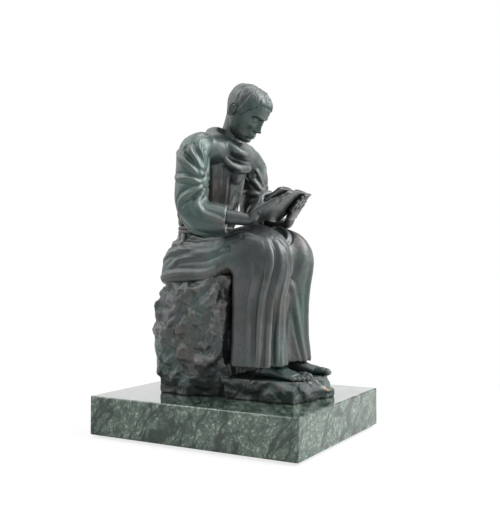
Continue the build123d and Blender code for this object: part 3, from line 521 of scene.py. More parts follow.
class Nodes:
    """The node tree of a material or a world, whose nodes come from one method."""

    def __init__(self, owner, end):
        owner.use_nodes = True
        self.tree = owner.node_tree
        self.tree.nodes.clear()
        self.last = self.tree.nodes.new(end)

    def node(self, kind, settings=None, inputs=None, output=0):
        """A node with its settings and inputs, given back as one of its outputs."""
        node = self.tree.nodes.new(kind)
        for key, value in (settings or {}).items():
            setattr(node, key, value)
        for key, value in (inputs or {}).items():
            socket = node.inputs[key]
            if isinstance(value, Value):
                self.tree.links.new(value.socket, socket)
            elif hasattr(socket.default_value, "__len__") and len(socket.default_value) == 4:
                socket.default_value = (*value[:3], 1)
            else:
                socket.default_value = value
        return Value(self, node.outputs[output])

    def close(self, shader):
        """Sends a shader to the tree's surface."""
        self.tree.links.new(shader.socket, self.last.inputs["Surface"])


class Finish(Nodes):
    """A material with the patterns that the finishes share."""

    def __init__(self, name):
        self.material = bpy.data.materials.new(name)
        super().__init__(self.material, "ShaderNodeOutputMaterial")

    def place(self):
        return self.node("ShaderNodeTexCoord", output="Object")

    def stretched(self, scale, turn=(0, 0, 0)):
        return self.node("ShaderNodeMapping", {}, {"Vector": self.place(), "Scale": scale,
                                                   "Rotation": turn})

    def grain(self, scale, detail=3.0, rough=0.55, warp=0.0, place=None):
        """Noise from 0 to 1 with features of about one over scale metres."""
        return self.node("ShaderNodeTexNoise", {}, {
            "Vector": place or self.place(), "Scale": scale, "Detail": detail,
            "Roughness": rough, "Distortion": warp})

    def mix(self, share, first, second):
        """A colour between two colours, or sockets of colours, by a share."""
        return self.node("ShaderNodeMix", {"data_type": "RGBA"},
                         {0: share, 6: first, 7: second}, 2)

    def step(self, value, low, high, to_low=0.0, to_high=1.0):
        """The value's range from low to high, stretched smoothly to another range."""
        return self.node("ShaderNodeMapRange", {"interpolation_type": "SMOOTHSTEP"}, {
            "Value": value, "From Min": low, "From Max": high, "To Min": to_low,
            "To Max": to_high})

    def bump(self, height, distance, strength=1.0, normal=None):
        inputs = {"Height": height, "Distance": distance, "Strength": strength}
        if normal is not None:
            inputs["Normal"] = normal
        return self.node("ShaderNodeBump", {}, inputs)

    def end(self, **inputs):
        """Ends in a principled shader with the inputs named, and gives the material."""
        named = {key.replace("_", " "): value for key, value in inputs.items()}
        self.close(self.node("ShaderNodeBsdfPrincipled", {}, named, "BSDF"))
        return self.material


def patinated_bronze(look, bare_share=0.0):
    """Waxed dark green patina: green-black ground clouded with teal and brown-grey, finely
    mottled and pitted, deeper green in the hollows, where painted shade also darkens them
    towards black, and bare brown-gold metal on the sharpest rubbed edges."""
    finish = Finish("Patinated bronze")
    # wear: rubbed ridges, patina in the hollows and painted shade in them
    wear = finish.node("ShaderNodeAttribute", {"attribute_name": "wear"}, output="Fac")
    cloud = finish.grain(34, 5, 0.6, 0.5)
    patch = finish.grain(15, 4, 0.55, 0.8, finish.stretched((1, 1, 0.6)))
    mottle = finish.grain(230, 5, 0.7, 0.6)
    speck = finish.grain(900, 3, 0.6)
    ground = finish.mix(finish.step(cloud, 0.36, 0.64), look.patina_dark, look.patina_grey)
    earth = finish.grain(24, 4, 0.6, 0.6, finish.stretched((1, 1, 0.8), (0.4, 0.2, 0)))
    ground = finish.mix(finish.step(earth, 0.48, 0.66) * look.brown_amount, ground,
                        look.patina_brown)
    teal = (finish.step(patch, 0.44, 0.64) * 0.8 + finish.step(wear * -1, 0.0, 0.8) * 0.5
            + (mottle - 0.5) * 1.6).capped()
    colour = finish.mix(teal * look.teal_amount, ground, look.patina_teal)
    colour = finish.mix(finish.step(mottle, 0.46, 0.66, 0, 0.75), colour, look.patina_dark)
    # painted shade, over the darker patina there: the deeper hollows are darkened towards near
    # black
    colour = finish.mix(finish.step(wear * -1, 0.35, 1.0, 0, 0.75), colour, look.hollow_shade_and_patina)
    salts = finish.step(mottle + (cloud - 0.5) * 0.6, 0.60, 0.74) * finish.step(
        wear * -1, -0.1, 0.4)
    colour = finish.mix((salts * look.verdigris_amount).capped(), colour, look.verdigris)
    edge = finish.step(wear + (cloud - 0.5) * 1.2 + (speck - 0.5) * 0.3, 0.55, 0.95)
    colour = finish.mix((edge * look.rub_amount).capped(), colour, look.rubbed)
    bare = (finish.step(wear + (patch - 0.5) * 1.1 + (speck - 0.5) * 0.4, 0.93, 1.14)
            * look.bare_amount * bare_share).capped()
    colour = finish.mix(bare, colour, look.bare)
    roughness = (look.bronze_roughness + (mottle - 0.5) * 0.30 + (cloud - 0.5) * 0.12
                 - edge * 0.05)
    metal = (0.42 + edge * 0.2 + bare * 0.4).capped()
    pits = finish.step(finish.grain(420, 2, 0.5), 0.30, 0.40)
    pores = finish.bump(speck * 0.5 + pits, 0.00014, 0.60)
    tooling = finish.bump(mottle, 0.00034, 0.60, pores)
    return finish.end(Base_Color=colour, Metallic=metal, Roughness=roughness.capped(),
                      Normal=tooling, Coat_Weight=look.wax, Coat_Roughness=0.27)


SHEET_LEAN = (-0.514, 0.685, 0.514)


def green_marble(look):
    """Polished serpentine marble: mid green with a close net of pale cells and veins, crossed
    by slanting dark bands."""
    finish = Finish("Polished green marble")
    place = finish.place()

    def vector(operation, first, second, output="Vector"):
        return finish.node("ShaderNodeVectorMath", {"operation": operation},
                           {0: first, 1: second}, output)

    def slanted(across, along, origin):
        """The place stretched so that features lie in slanting sheets."""
        depth = vector("DOT_PRODUCT", origin, SHEET_LEAN, "Value")
        spread = finish.node("ShaderNodeCombineXYZ", {}, {
            axis: depth * (lean * (across - along)) for axis, lean in zip("XYZ", SHEET_LEAN)})
        return vector("ADD", vector("MULTIPLY", origin, (along,) * 3), spread)

    drift = finish.node("ShaderNodeTexNoise", {}, {"Vector": place, "Scale": 55.0,
                                                   "Detail": 4.0}, output="Color")
    drift = vector("MULTIPLY", vector("SUBTRACT", drift, (0.5, 0.5, 0.5)), (0.010,) * 3)
    bent = vector("ADD", place, drift)
    mist = finish.grain(110, 7, 0.78, 0.4, bent)
    grit = finish.grain(1, 5, 0.75, 0.3, slanted(620, 420, bent))
    band = finish.grain(1, 3, 0.5, 0.4, slanted(60, 13, bent))
    thread = finish.grain(1, 4, 0.6, 0.5, slanted(150, 55, bent))
    wide_band = finish.grain(1, 3, 0.5, 0.8, slanted(30, 10, place))
    ground = finish.mix(finish.step(mist, 0.40, 0.62), look.marble_mid, look.marble_light)
    pale = (finish.step(grit, 0.49, 0.64) * finish.step(mist, 0.42, 0.58) * 0.9
            + finish.step(grit, 0.56, 0.68) * 0.5).capped()
    colour = finish.mix(pale * look.vein_amount, ground, look.marble_vein)
    veins = finish.step((band - 0.5).size(), 0.006, 0.042, 1.0, 0.0)
    net = finish.step((thread - 0.5).size(), 0.004, 0.028, 1.0, 0.0)
    dark = (veins * 0.95 + net * 0.65 + finish.step(wide_band, 0.52, 0.62) * 0.55
            + finish.step(grit, 0.50, 0.34) * 0.35).capped()
    colour = finish.mix(dark * look.band_amount, colour, look.marble_dark)
    upward = finish.node("ShaderNodeSeparateXYZ", {}, {0: finish.node(
        "ShaderNodeTexCoord", output="Normal")}, "Z")
    roughness = 0.07 + pale * 0.06
    return finish.end(Base_Color=colour, Roughness=roughness, Specular_IOR_Level=0.4,
                      Coat_Weight=finish.step(upward, 0.7, 0.95), Coat_Roughness=0.05,
                      Normal=finish.bump(pale * -1 + thread * 0.3, 0.00003, 0.25))


def pressed_felt(look):
    """Green pressed felt: fine matted fibres over soft clumps."""
    finish = Finish("Pressed felt")
    fibre = finish.grain(1400, 5, 0.7, 1.5)
    clump = finish.grain(160, 4, 0.6, 0.5)
    colour = finish.mix(finish.step(fibre, 0.35, 0.65), look.felt_dark, look.felt_light)
    colour = finish.mix(finish.step(clump, 0.4, 0.7, 0, 0.35), colour, look.felt_dark)
    return finish.end(Base_Color=colour, Roughness=0.95, Sheen_Weight=0.4,
                      Sheen_Roughness=0.6, Normal=finish.bump(fibre, 0.00025, 0.8))


def drawn_metal(name, bright, dark, scale):
    """Drawn or rolled metal: fine lengthwise lines and small stains."""
    finish = Finish(name)
    lines = finish.grain(1, 4, 0.6, 0.0, finish.stretched(scale))
    stain = finish.grain(180, 4, 0.6, 0.6)
    colour = finish.mix(finish.step(stain, 0.35, 0.7), bright, dark)
    return finish.end(Base_Color=colour, Metallic=1.0,
                      Roughness=(0.30 + (lines - 0.5) * 0.2 + (stain - 0.5) * 0.2).capped(),
                      Normal=finish.bump(lines, 0.00004, 0.4))


# ---------------------------------------------------------------- rock seat
BLOCK_CUTS = ((45, 8, 1.5), (135, -6, 1.3), (225, 10, 1.2), (315, -5, 0.9), (90, 34, 1.9),
              (62, -28, 2.0), (180, 30, 0.8), (200, -24, 2.1), (0, 26, 1.0), (-18, -30, 1.8),
              (120, 52, 1.4), (160, 6, 1.5), (20, 12, 1.5), (172, -14, 1.2), (188, 12, 0.8),
              (100, -16, 1.4), (78, 10, 1.1), (8, -12, 1.0))
LEDGE_CUTS = ((225, 18, 1.5), (315, 10, 1.9), (270, 32, 0.9), (248, -8, 1.7), (292, 6, 1.3),
              (196, 22, 1.1), (-14, 26, 1.1), (180, -12, 0.6), (262, -20, 1.2))


def crag(points, spacing, depth):
    """The depth of the broad dents at points: waves along the three axes that bend each
    other."""
    across, along, rise = np.moveaxis(points * 2 * np.pi / spacing, -1, 0)
    a = np.sin(across + 1.9 * np.sin(rise / 1.7))
    b = np.sin(rise + 1.7 * np.sin(along / 1.4))
    c = np.sin(along + 1.3 * np.sin(across / 2.1))
    return depth * (1 - np.clip(a * b + b * c + c * a, -1, 1)) / 2


def hewn_block(centre, size, cuts, shape, rows, columns=300):
    """A hewn block as level rows. Each point lies where a ray from the block's axis meets the
    nearest of its planes, which are the sides of a box and the chisel cuts set in from the
    box's far corners, less the dent there."""
    half = np.asarray(size) / 2
    heading, lean = np.radians(np.array(cuts)[:, :2]).T
    cut = np.stack([np.cos(heading) * np.cos(lean), np.sin(heading) * np.cos(lean),
                    np.sin(lean)], axis=-1)
    bite = np.array(cuts)[:, 2] * shape.chisel_bite
    normals = np.vstack([np.eye(3), -np.eye(3), cut])
    distances = np.concatenate([half, half, np.abs(cut) @ half - bite])
    level = np.linspace(-half[2], half[2], rows)
    angle = np.linspace(0, 2 * np.pi, columns, endpoint=False)
    ray = np.stack([np.cos(angle), np.sin(angle), 0 * angle], axis=-1)
    toward = (ray @ normals.T)[None]
    room = (distances - level[:, None] * normals[:, 2])[:, None]
    reach = np.min(np.where(toward > 1e-6, room / np.maximum(toward, 1e-6), 1e9), axis=2)
    start = np.asarray(centre) + np.stack([0 * level, 0 * level, level], axis=-1)
    place = start[:, None] + ray * reach[..., None]
    return place - ray * crag(place, shape.crag_spacing, shape.crag_depth)[..., None]


def rock_form(shape):
    """The block that is sat on and the ledge under the feet, melted into one skin."""
    block = hewn_block((0, ROCK_FRONT + BLOCK_SIZE[1] / 2, SLAB_TOP + BLOCK_SIZE[2] / 2),
                       BLOCK_SIZE, BLOCK_CUTS, shape, 110)
    ledge = hewn_block((0, ROCK_FRONT + LEDGE_OVERLAP - LEDGE_SIZE[1] / 2,
                        SLAB_TOP + LEDGE_SIZE[2] / 2), LEDGE_SIZE, LEDGE_CUTS, shape, 24)
    return melt(together(grid(block), grid(ledge)), ROCK_GRAIN, 1)


def chips(points, count, lean, seed):
    """Flat chips: each point takes the tilted flat of the nearest of many scattered seeds."""
    dice = np.random.default_rng(seed)
    low, high = points.min(axis=0), points.max(axis=0)
    seeds = dice.uniform(low, high, (count, 3))
    tilts = dice.normal(0, lean, (count, 3))
    best, rise = np.full(len(points), 1e9), np.zeros(len(points))
    for seed_point, tilt in zip(seeds, tilts):
        off = points - seed_point
        far = np.sum(off * off, axis=1)
        closer = far < best
        best[closer] = far[closer]
        rise[closer] = off[closer] @ tilt
    return np.clip(rise, -1.6, 1.6)


def craggy(form, shape):
    """Works the hewn faces: flat chips, soft lumps, a few knobs and cracks, small gouges and a
    fine crust. The foot, the seat and the ledge under the feet stay nearly true."""
    points, faces = form
    lumps = noise(points, 15, 3, 3)
    knobs = ease(noise(points, 6.5, 11, 2), 0.46, 0.72)
    flats = eased(form, chips(points + 3 * lumps[:, None], 150, 0.10, 5), 3)[:, 0]
    gate = ease(noise(points, 21, 41), 0.05, 0.35)
    bent = points + 2.5 * lumps[:, None]
    crack = np.clip(1 - np.abs(noise(bent, 19, 23, 2)) * 16, 0, 1) * gate
    gouge = ease(noise(bent * (1, 1, 0.6), 4.6, 61, 2), 0.28, 0.60)
    crest = 0.5 - np.abs(noise(bent, 11, 71, 2)) * 2.4
    tooth = 0.5 - np.abs(noise(bent, 4.2, 73, 2)) * 2.0
    crust = noise(points, 1.7, 31, 3)
    rise = (0.3 * lumps + 0.40 * flats + 0.4 * knobs + 0.9 * crest + 0.30 * tooth
            - 1.0 * crack - 0.40 * gouge + 0.26 * crust) * shape.crag
    z = points[:, 2]
    calm = ease(z, SLAB_TOP, SLAB_TOP + 4) * (1 - 0.85 * ease(z, SEAT_TOP - 3, SEAT_TOP))
    on_ledge = bell(z - LEDGE_TOP, 1.4) * ease(-points[:, 1], 8, 14)
    moved = points + facing(form) * (rise * calm * (1 - 0.92 * on_ledge))[:, None]
    moved[:, 2] = np.clip(moved[:, 2], SLAB_TOP, SEAT_TOP)
    return moved, faces


# ---------------------------------------------------------------- skirt of the robe
SKIRT_ROWS = (
    (0.00, 0.0, 0.0, 0.62, 0.30, 0.0, 0.00, 0.20, 1.0),
    (0.04, 0.0, 0.0, 0.82, 0.50, 0.0, 0.00, 0.26, 1.0),
    (0.18, 0.0, 0.0, 0.89, 0.65, 0.0, 0.10, 0.24, 1.0),
    (0.45, 0.0, 0.0, 0.89, 0.68, 0.2, 0.12, 0.22, 1.0),
    (0.75, 0.0, 0.0, 0.92, 0.70, 0.6, 0.15, 0.18, 0.8),
    (1.00, 0.0, 0.0, 0.98, 0.78, 0.8, 0.20, 0.08, 0.0),
    (1.00, 0.4, 0.0, 1.03, 0.97, 1.0, 0.26, 0.00, 0.0),
    (1.00, 0.7, 0.0, 1.03, 1.03, 1.1, 0.34, 0.00, 0.0),
    (1.00, 1.0, 0.0, 1.00, 0.93, 1.0, 0.50, 0.00, 0.0),
    (1.00, 1.0, 0.3, 1.00, 0.85, 0.8, 0.68, 0.00, 0.0),
    (1.00, 1.0, 0.7, 1.02, 0.83, 0.5, 0.90, 0.00, 0.0),
    (1.00, 1.0, 1.0, 1.08, 0.86, 0.4, 1.05, 0.00, 0.0),
)
PULLS = (
    (1.0, 5.8, 0.88, 0.58, 0.9), (0.8, 5.4, -0.86, -0.62, 0.9), (2.6, 5.6, -0.42, 0.12, 0.7),
    (3.6, 7.0, 0.40, -0.10, 0.8), (5.4, 9.2, -0.52, 0.06, 0.9), (6.0, 10.8, 0.50, -0.22, 1.0),
    (6.2, 11.3, 0.60, 0.84, 0.9), (6.4, 11.3, -0.62, -0.80, 0.9),
)
FOLD_COUNT = 9


def pull_rise(station, across):
    """How far the broad slanting pulls stand out. Each runs from one place across to another
    between two stations of the skirt, and dies away at both."""
    rise = 0
    for start, end, side_from, side_to, share in PULLS:
        way = np.clip((station - start) / (end - start), 0, 1)
        off = across - (side_from + (side_to - side_from) * way)
        rise = rise + share * PULL_HEIGHT * np.sin(np.pi * way) ** 0.7 * bell(
            off * SKIRT_HALF_WIDTH, PULL_WIDTH)
    return rise


def skirt_surface(shape, rows=190, columns=260):
    """The skirt's section carried back along the seat, round over the knees and down to the
    hem. A section is an oval with a valley between the thighs; pipe folds run down its outer
    side and deepen towards the hem."""
    spots = np.linspace(0, len(SKIRT_ROWS) - 1, rows)
    table = smooth_rows(SKIRT_ROWS, spots)
    placed = np.stack([np.interp(spots, range(len(SKIRT_ROWS)), column)
                       for column in np.array(SKIRT_ROWS)[:, :3].T], axis=1)
    run, turn, drop = placed.T
    wide, deep, valley, fold, flare, drape = table[:, 3:].T
    angle = np.concatenate([np.linspace(-20, 200, columns - 50, endpoint=False),
                            np.linspace(200, 340, 50, endpoint=False)])
    angle = np.radians(angle)[None]
    side, out = np.cos(angle), np.sin(angle)
    half_width = (wide * SKIRT_HALF_WIDTH)[:, None]
    depth = (deep * SKIRT_DEPTH + drape * DRAPE_SINK)[:, None]
    shown = np.maximum(0, out) ** 0.6
    phase = FOLD_COUNT * (angle - np.pi / 2) + side
    hang = ease(turn, 0.55, 1.0)[:, None] + ease(drop, 0.0, 1.0)[:, None] * 0.6
    pipe = -np.cos(phase) - 0.30 * np.cos(2 * phase) * hang
    ripple = pipe * shown * (fold * PIPE_DEPTH)[:, None] * shape.fold_depth
    height = (1 + np.where(out > 0, power(out, 0.72), power(out, 0.35))) / 2
    x = half_width * power(side, 0.72) * (1 + flare[:, None] * (1 - height) ** 2)
    y = depth * height - (valley * VALLEY_DEPTH)[:, None] * bell(x / half_width, 0.36) * shown
    y = y + pull_rise(spots[:, None], x / half_width) * shown * shape.fold_depth
    x, y = x + ripple * side, y + ripple * out
    lean = np.radians(90 * turn)
    away = np.stack([0 * lean, -np.sin(lean), np.cos(lean)], axis=-1)
    start = np.array([0, ROCK_FRONT + 1.2, SEAT_TOP - 1.2])
    origin = start + np.stack([0 * run, (1 - run) * SEAT_RUN, -drop * SKIRT_DROP], axis=-1)
    origin = origin + away * (0.3 - drape * DRAPE_SINK)[:, None]
    return origin[:, None] + x[..., None] * np.array([1.0, 0, 0]) + y[..., None] * away[:, None]


def under_hem(surface):
    """Rows that turn in under the hem: a rounded lip, then up the inside of the cloth."""
    last = surface[-1]
    middle = np.array([0, last[:, 1].mean(), 0])
    flat = last * (1, 1, 0)
    inward = unit(middle - flat)
    rows = [last + inward * inset + np.array([0, 0, rise]) for inset, rise in (
        (0.5, -0.45), (1.3, -0.6), (2.1, -0.4), (2.7, 0.3), (3.0, 2.0), (3.2, 5.0), (4.5, 6.9))]
    return np.vstack([surface, np.array(rows)])


def hips_surface():
    """Ovals that widen from the girdle to the seat, gathered at the girdle."""
    rows = np.array([(SEAT_TOP + 3.0, 31.0, 24.0), (SEAT_TOP + 11.2, 30.7, 23.4),
                     (SEAT_TOP + 24.0, 29.7, 22.4), (GIRDLE_Z - 6.0, 26.5, 19.6),
                     (GIRDLE_Z - 2.0, WAIST_HALF_WIDTH, WAIST_HALF_DEPTH),
                     (GIRDLE_Z + 1.0, WAIST_HALF_WIDTH, WAIST_HALF_DEPTH)])
    rows = smooth_rows(rows, np.linspace(0, len(rows) - 1, 48))
    angle = np.linspace(0, 2 * np.pi, 160, endpoint=False)
    gather = 1 + 0.040 * np.cos(17 * angle + 1.6 * np.sin(3 * angle)) * ease(
        rows[:, :1], SEAT_TOP + 9, GIRDLE_Z - 6) * (0.7 + 0.3 * np.cos(5 * angle + 1))
    x = rows[:, 1:2] * np.cos(angle) * gather
    y = SPINE_Y + rows[:, 2:3] * np.sin(angle) * gather
    return np.stack([x, y, rows[:, :1] + 0 * x], axis=-1)


def seat_folds(surface, shape):
    """Folds over the back of the seat: they start under the girdle and spread downwards."""
    folds = []
    for k, (column, width) in enumerate(((0.045, 2.6), (0.095, 2.2), (0.140, 2.8),
                                         (0.190, 2.2), (0.235, 2.6), (0.290, 3.0),
                                         (0.335, 2.2), (0.385, 2.8), (0.440, 2.4))):
        spread = (column - 0.25) * 0.16
        path = trace(surface, [(0.93, column - spread), (0.62, column + 0.012 * (-1) ** k),
                               (0.34, column + spread * 0.7), (0.04, column + spread)])
        folds.append((path, width, 1.7 * shape.fold_depth,
                      (0.9, 1.0, 0.8 if k % 2 else 0.45, 0.5 if k % 3 else 0.0)))
    return folds


def skirt_folds(surface, shape):
    """Paths of the skirt's finer folds, as shares of the way from hips to hem and places
    across. Place 0 is the reader's left side, 1 the middle of the lap and 2 the right side."""
    folds = []

    def add(path, width, height, run=(0.2, 1.0, 0.2)):
        columns = [(row, 0.075 + across * 0.325) for row, across in path]
        folds.append((trace(surface, columns), width, height * shape.fold_depth, run))

    # along the thighs, from the hips to the knees
    add([(0.05, 0.10), (0.25, 0.16), (0.42, 0.10), (0.52, 0.22)], 2.8, 1.6)
    add([(0.10, 0.36), (0.26, 0.32), (0.43, 0.27), (0.55, 0.33)], 2.4, 1.3)
    add([(0.16, -0.04), (0.33, 0.02), (0.47, -0.03)], 2.6, 1.7)
    add([(0.40, 0.00), (0.49, 0.10), (0.56, 0.24), (0.60, 0.44)], 2.2, 1.0, (0.2, 1.0, 0.7, 0.0))
    add([(0.22, 0.52), (0.36, 0.44), (0.47, 0.47)], 2.0, 0.9)
    add([(0.05, 1.93), (0.23, 1.84), (0.40, 1.90), (0.51, 1.80)], 2.8, 1.6)
    add([(0.12, 1.62), (0.28, 1.70), (0.45, 1.74), (0.56, 1.66)], 2.4, 1.3)
    add([(0.17, 2.05), (0.31, 1.98), (0.48, 2.02)], 2.6, 1.5)
    add([(0.26, 1.52), (0.40, 1.55), (0.50, 1.50)], 2.0, 0.9)
    # short breaks at the hips, under the girdle
    for side, flip in ((0, 1), (2, -1)):
        add([(0.12, side + flip * 0.58), (0.18, side + flip * 0.36),
             (0.27, side + flip * 0.12)], 2.3, 1.2)
        add([(0.21, side + flip * 0.70), (0.27, side + flip * 0.50),
             (0.36, side + flip * 0.32)], 2.1, 1.1)
        add([(0.08, side - flip * 0.14), (0.24, side - flip * 0.10),
             (0.41, side - flip * 0.13)], 2.3, 1.2)
    # from the knee caps down to the hem
    add([(0.57, 0.40), (0.67, 0.30), (0.81, 0.16), (1.0, 0.10)], 2.6, 1.7, (0.1, 1.0, 0.9, 0.8))
    add([(0.60, 0.52), (0.71, 0.46), (0.84, 0.40), (1.0, 0.37)], 2.6, 1.7, (0.1, 0.9, 1.0, 0.9))
    add([(0.64, 0.70), (0.74, 0.72), (0.86, 0.68), (1.0, 0.66)], 2.2, 1.3, (0.0, 0.8, 1.0, 0.9))
    add([(0.58, 1.56), (0.68, 1.68), (0.82, 1.80), (1.0, 1.86)], 2.6, 1.7, (0.1, 1.0, 0.9, 0.8))
    add([(0.61, 1.44), (0.72, 1.50), (0.85, 1.58), (1.0, 1.62)], 2.6, 1.7, (0.1, 0.9, 1.0, 0.9))
    add([(0.74, 1.28), (0.85, 1.26), (1.0, 1.30)], 2.2, 1.3, (0.0, 0.9, 0.9))
    # one sweep from the right knee across the shins, with a finer one beside it
    add([(0.60, 1.36), (0.69, 1.14), (0.80, 0.94), (1.0, 0.84)], 2.5, 1.5, (0.1, 1.0, 0.9, 0.7))
    add([(0.68, 1.32), (0.77, 1.14), (0.88, 1.06), (1.0, 1.02)], 2.0, 1.1, (0.0, 1.0, 0.8, 0.8))
    # loose cloth along the edge that meets the rock
    add([(0.62, -0.02), (0.76, 0.04), (0.88, -0.01), (1.0, 0.02)], 2.6, 1.3, (0.1, 0.9, 1.0, 0.8))
    add([(0.62, 2.02), (0.74, 1.96), (0.87, 2.01), (1.0, 1.97)], 2.6, 1.3, (0.1, 0.9, 1.0, 0.8))
    # swags between the thighs
    for k, row in enumerate((0.31, 0.39, 0.47, 0.54)):
        dip = 0.030 + 0.012 * k
        add([(row - dip, 0.66), (row, 0.84), (row + dip * 0.7, 0.98), (row, 1.14),
             (row - dip, 1.32)], 2.0, 1.0, (0.1, 0.8, 1.0, 0.8, 0.1))
    return folds


def skirt_form(shape):
    """The skirt and the hips melted into one skin, with both sets of folds pressed in and a
    soft unevenness over all, which is fullest above the rock."""
    surface, hips = skirt_surface(shape), hips_surface()
    form = melt(together(grid(under_hem(surface)), grid(hips)), SKIRT_GRAIN, 3)
    form = press(form, skirt_folds(surface, shape) + seat_folds(hips, shape))
    points = form[0]
    above_rock = ease(points[:, 2], SEAT_TOP - 10, SEAT_TOP)
    drift = noise(points, 9, 5, 2) * 0.35 + noise(points, 3.2, 8, 2) * 0.10
    return raise_by(form, drift * (0.4 + 0.6 * above_rock) * shape.fold_depth)


# ---------------------------------------------------------------- upper robe
TORSO_ROWS = (
    (-0.03, 0.0, 0.97, 0.97, 0.00), (0.04, 0.0, 1.00, 1.00, 0.00),
    (0.10, 0.15, 1.06, 1.06, 0.01), (0.22, 0.3, 1.08, 1.05, 0.05),
    (0.48, 1.0, 1.02, 1.02, 0.30), (0.70, 1.0, 1.02, 1.00, 0.60),
    (0.84, 1.0, 0.88, 0.88, 0.84), (0.92, 1.0, 0.62, 0.64, 1.00),
)


def torso_surface(shape, rows=110, columns=200):
    """The robe from the girdle to the collar: ovals that lean forward, gathered into close
    folds over the girdle where the cloth blouses out."""
    table = smooth_rows(TORSO_ROWS, np.linspace(0, len(TORSO_ROWS) - 1, rows))
    height, blend, wide, deep, lean = (table[:, k:k + 1] for k in range(5))
    half_width = wide * (WAIST_HALF_WIDTH + blend * 2.0)
    half_depth = deep * (WAIST_HALF_DEPTH + blend * 1.5)
    angle = np.linspace(0, 2 * np.pi, columns, endpoint=False)
    square = 1 - 0.08 * np.clip(blend, 0, 1)
    gather = np.cos(21 * angle + 2.0 * np.sin(2 * angle) + 1.3 * np.sin(5 * angle))
    swell = 1 + 0.026 * gather * bell(height - 0.05, 0.13) * shape.fold_depth
    x = half_width * power(np.cos(angle), square) * swell
    y = SPINE_Y - lean * TORSO_LEAN + half_depth * power(np.sin(angle), square) * swell
    return np.stack([x, y, GIRDLE_Z + height * TORSO_HEIGHT + 0 * x], axis=-1)


def cowl_axes():
    """The collar's middle, and the ways across it, behind it and up through it."""
    lean, rise = math.sin(COWL_TILT), math.cos(COWL_TILT)
    return (np.array([0, COLLAR_Y, COLLAR_Z - COLLAR_SINK]), np.array([1.0, 0, 0]),
            np.array([0, rise, lean]), np.array([0, -lean, rise]))


def cowl_ring(shape, reach, thickness, sink, fall, twist):
    """One roll of the collar: a ring of ovals that falls at the throat and rises at the nape,
    wrung with soft folds that run slantwise round it."""
    origin, across, behind, up = cowl_axes()
    angle = np.linspace(0, 2 * np.pi, 220, endpoint=False)[:, None]
    turn = np.linspace(0, 2 * np.pi, 56, endpoint=False)[None]
    throat, nape = bell(1 + np.sin(angle), 0.6), bell(1 - np.sin(angle), 0.7)
    out = across * np.cos(angle)[..., None] + behind * np.sin(angle)[..., None]
    folds = 1 + 0.05 * np.cos(3 * angle + twist) + 0.09 * shape.fold_depth * np.cos(
        7 * angle + 2 * turn + 1.8 * np.sin(2 * angle) + twist)
    wide, tall = thickness * (0.95 + 0.25 * throat) * folds, thickness * 0.9 * folds
    centre = (origin + out * (reach * (1 + 0.12 * throat - 0.10 * nape))[..., None]
              + up * (1.5 * nape - sink - fall * throat)[..., None])
    return loop(centre + out * (wide * np.cos(turn))[..., None]
                + up * (tall * np.sin(turn))[..., None])


def cowl_form(shape):
    """The rolled collar with a second, lower roll of slack cloth, over a bib that carries them
    on down to the breast."""
    origin = cowl_axes()[0]
    bib = ball(origin + np.array([0, -2.0, -19.0]), 17.0, 12.0, 17.0, columns=60)
    return together(cowl_ring(shape, 16.0, 5.4, -1.0, 3.0, 0.0),
                    cowl_ring(shape, 18.6, 4.6, 6.5, 7.0, 1.4), bib)


def shoulder_form(side):
    """The slope of cloth from the collar down to the shoulder."""
    path = [(side * 2, 13.0, 228.0), (side * 12, 13.6, 228.5), (side * 22, 14.0, 228.0),
            (side * 31, SHOULDER_Y, 225.6), (side * 37, SHOULDER_Y, 222.5)]
    sizes = [(13.5, 11.2), (13.6, 11.2), (13.8, 11.0), (13.2, 11.2), (10.5, 9.5)]
    return tube(path, (0, 1, 0), sizes, columns=60)


HOOD_ROWS = ((-0.10, 0.36, 0.56, -0.5), (0.06, 0.46, 0.72, 0.8), (0.26, 0.54, 0.76, 1.6),
             (0.50, 0.53, 0.70, 2.2), (0.74, 0.40, 0.62, 2.6), (0.92, 0.22, 0.50, 2.4),
             (1.00, 0.08, 0.30, 1.4))


def hood_form(shape):
    """The hood lying on the back: ovals that follow the back and narrow to a rounded point,
    with swags that hang between its two edges."""
    table = smooth_rows(HOOD_ROWS, np.linspace(0, len(HOOD_ROWS) - 1, 90))
    drop, wide, thick, stand = (table[:, k:k + 1] for k in range(4))
    angle = np.linspace(0, 2 * np.pi, 120, endpoint=False)
    x = wide * HOOD_HALF_WIDTH * np.cos(angle)
    back_row = smooth_rows(TORSO_ROWS, np.linspace(0, len(TORSO_ROWS) - 1, 60))
    back_y = SPINE_Y - back_row[:, 4] * TORSO_LEAN + back_row[:, 3] * (
        WAIST_HALF_DEPTH + back_row[:, 1] * 1.5)
    z = COLLAR_Z + 1.0 - drop * HOOD_DROP
    lie = np.interp(z[::-1, 0], GIRDLE_Z + back_row[:, 0] * TORSO_HEIGHT, back_y)[::-1, None]
    swag = np.cos(drop * 24 - 5.5 * bell(x / 20.0, 0.8)) * 0.09 * np.maximum(
        0, np.sin(angle)) * ease(drop, 0.05, 0.25) * shape.fold_depth
    depth = thick * HOOD_THICKNESS
    y = lie - depth + stand + depth * power(np.sin(angle), 0.8) * (1 + swag)
    y = y - 0.010 * x**2
    return grid(np.stack([x, y, z + 0 * x], axis=-1))


def book_axes():
    """The middle of the open book, and the ways across it, up the page and off the page."""
    up_page = np.array([0, -math.cos(BOOK_TILT), math.sin(BOOK_TILT)])
    near_edge = np.array([0, ROCK_FRONT - BOOK_BEFORE_ROCK, SEAT_TOP + BOOK_ABOVE_SEAT])
    across = np.array([-1.0, 0, 0])
    return near_edge + up_page * BOOK_HALF_HEIGHT, across, up_page, np.cross(across, up_page)


def book_point(x, y, z):
    """A place on the book, with x towards the reader's left, y up the page, z off the page."""
    origin, across, up_page, off = book_axes()
    return origin - across * x + up_page * y + off * z


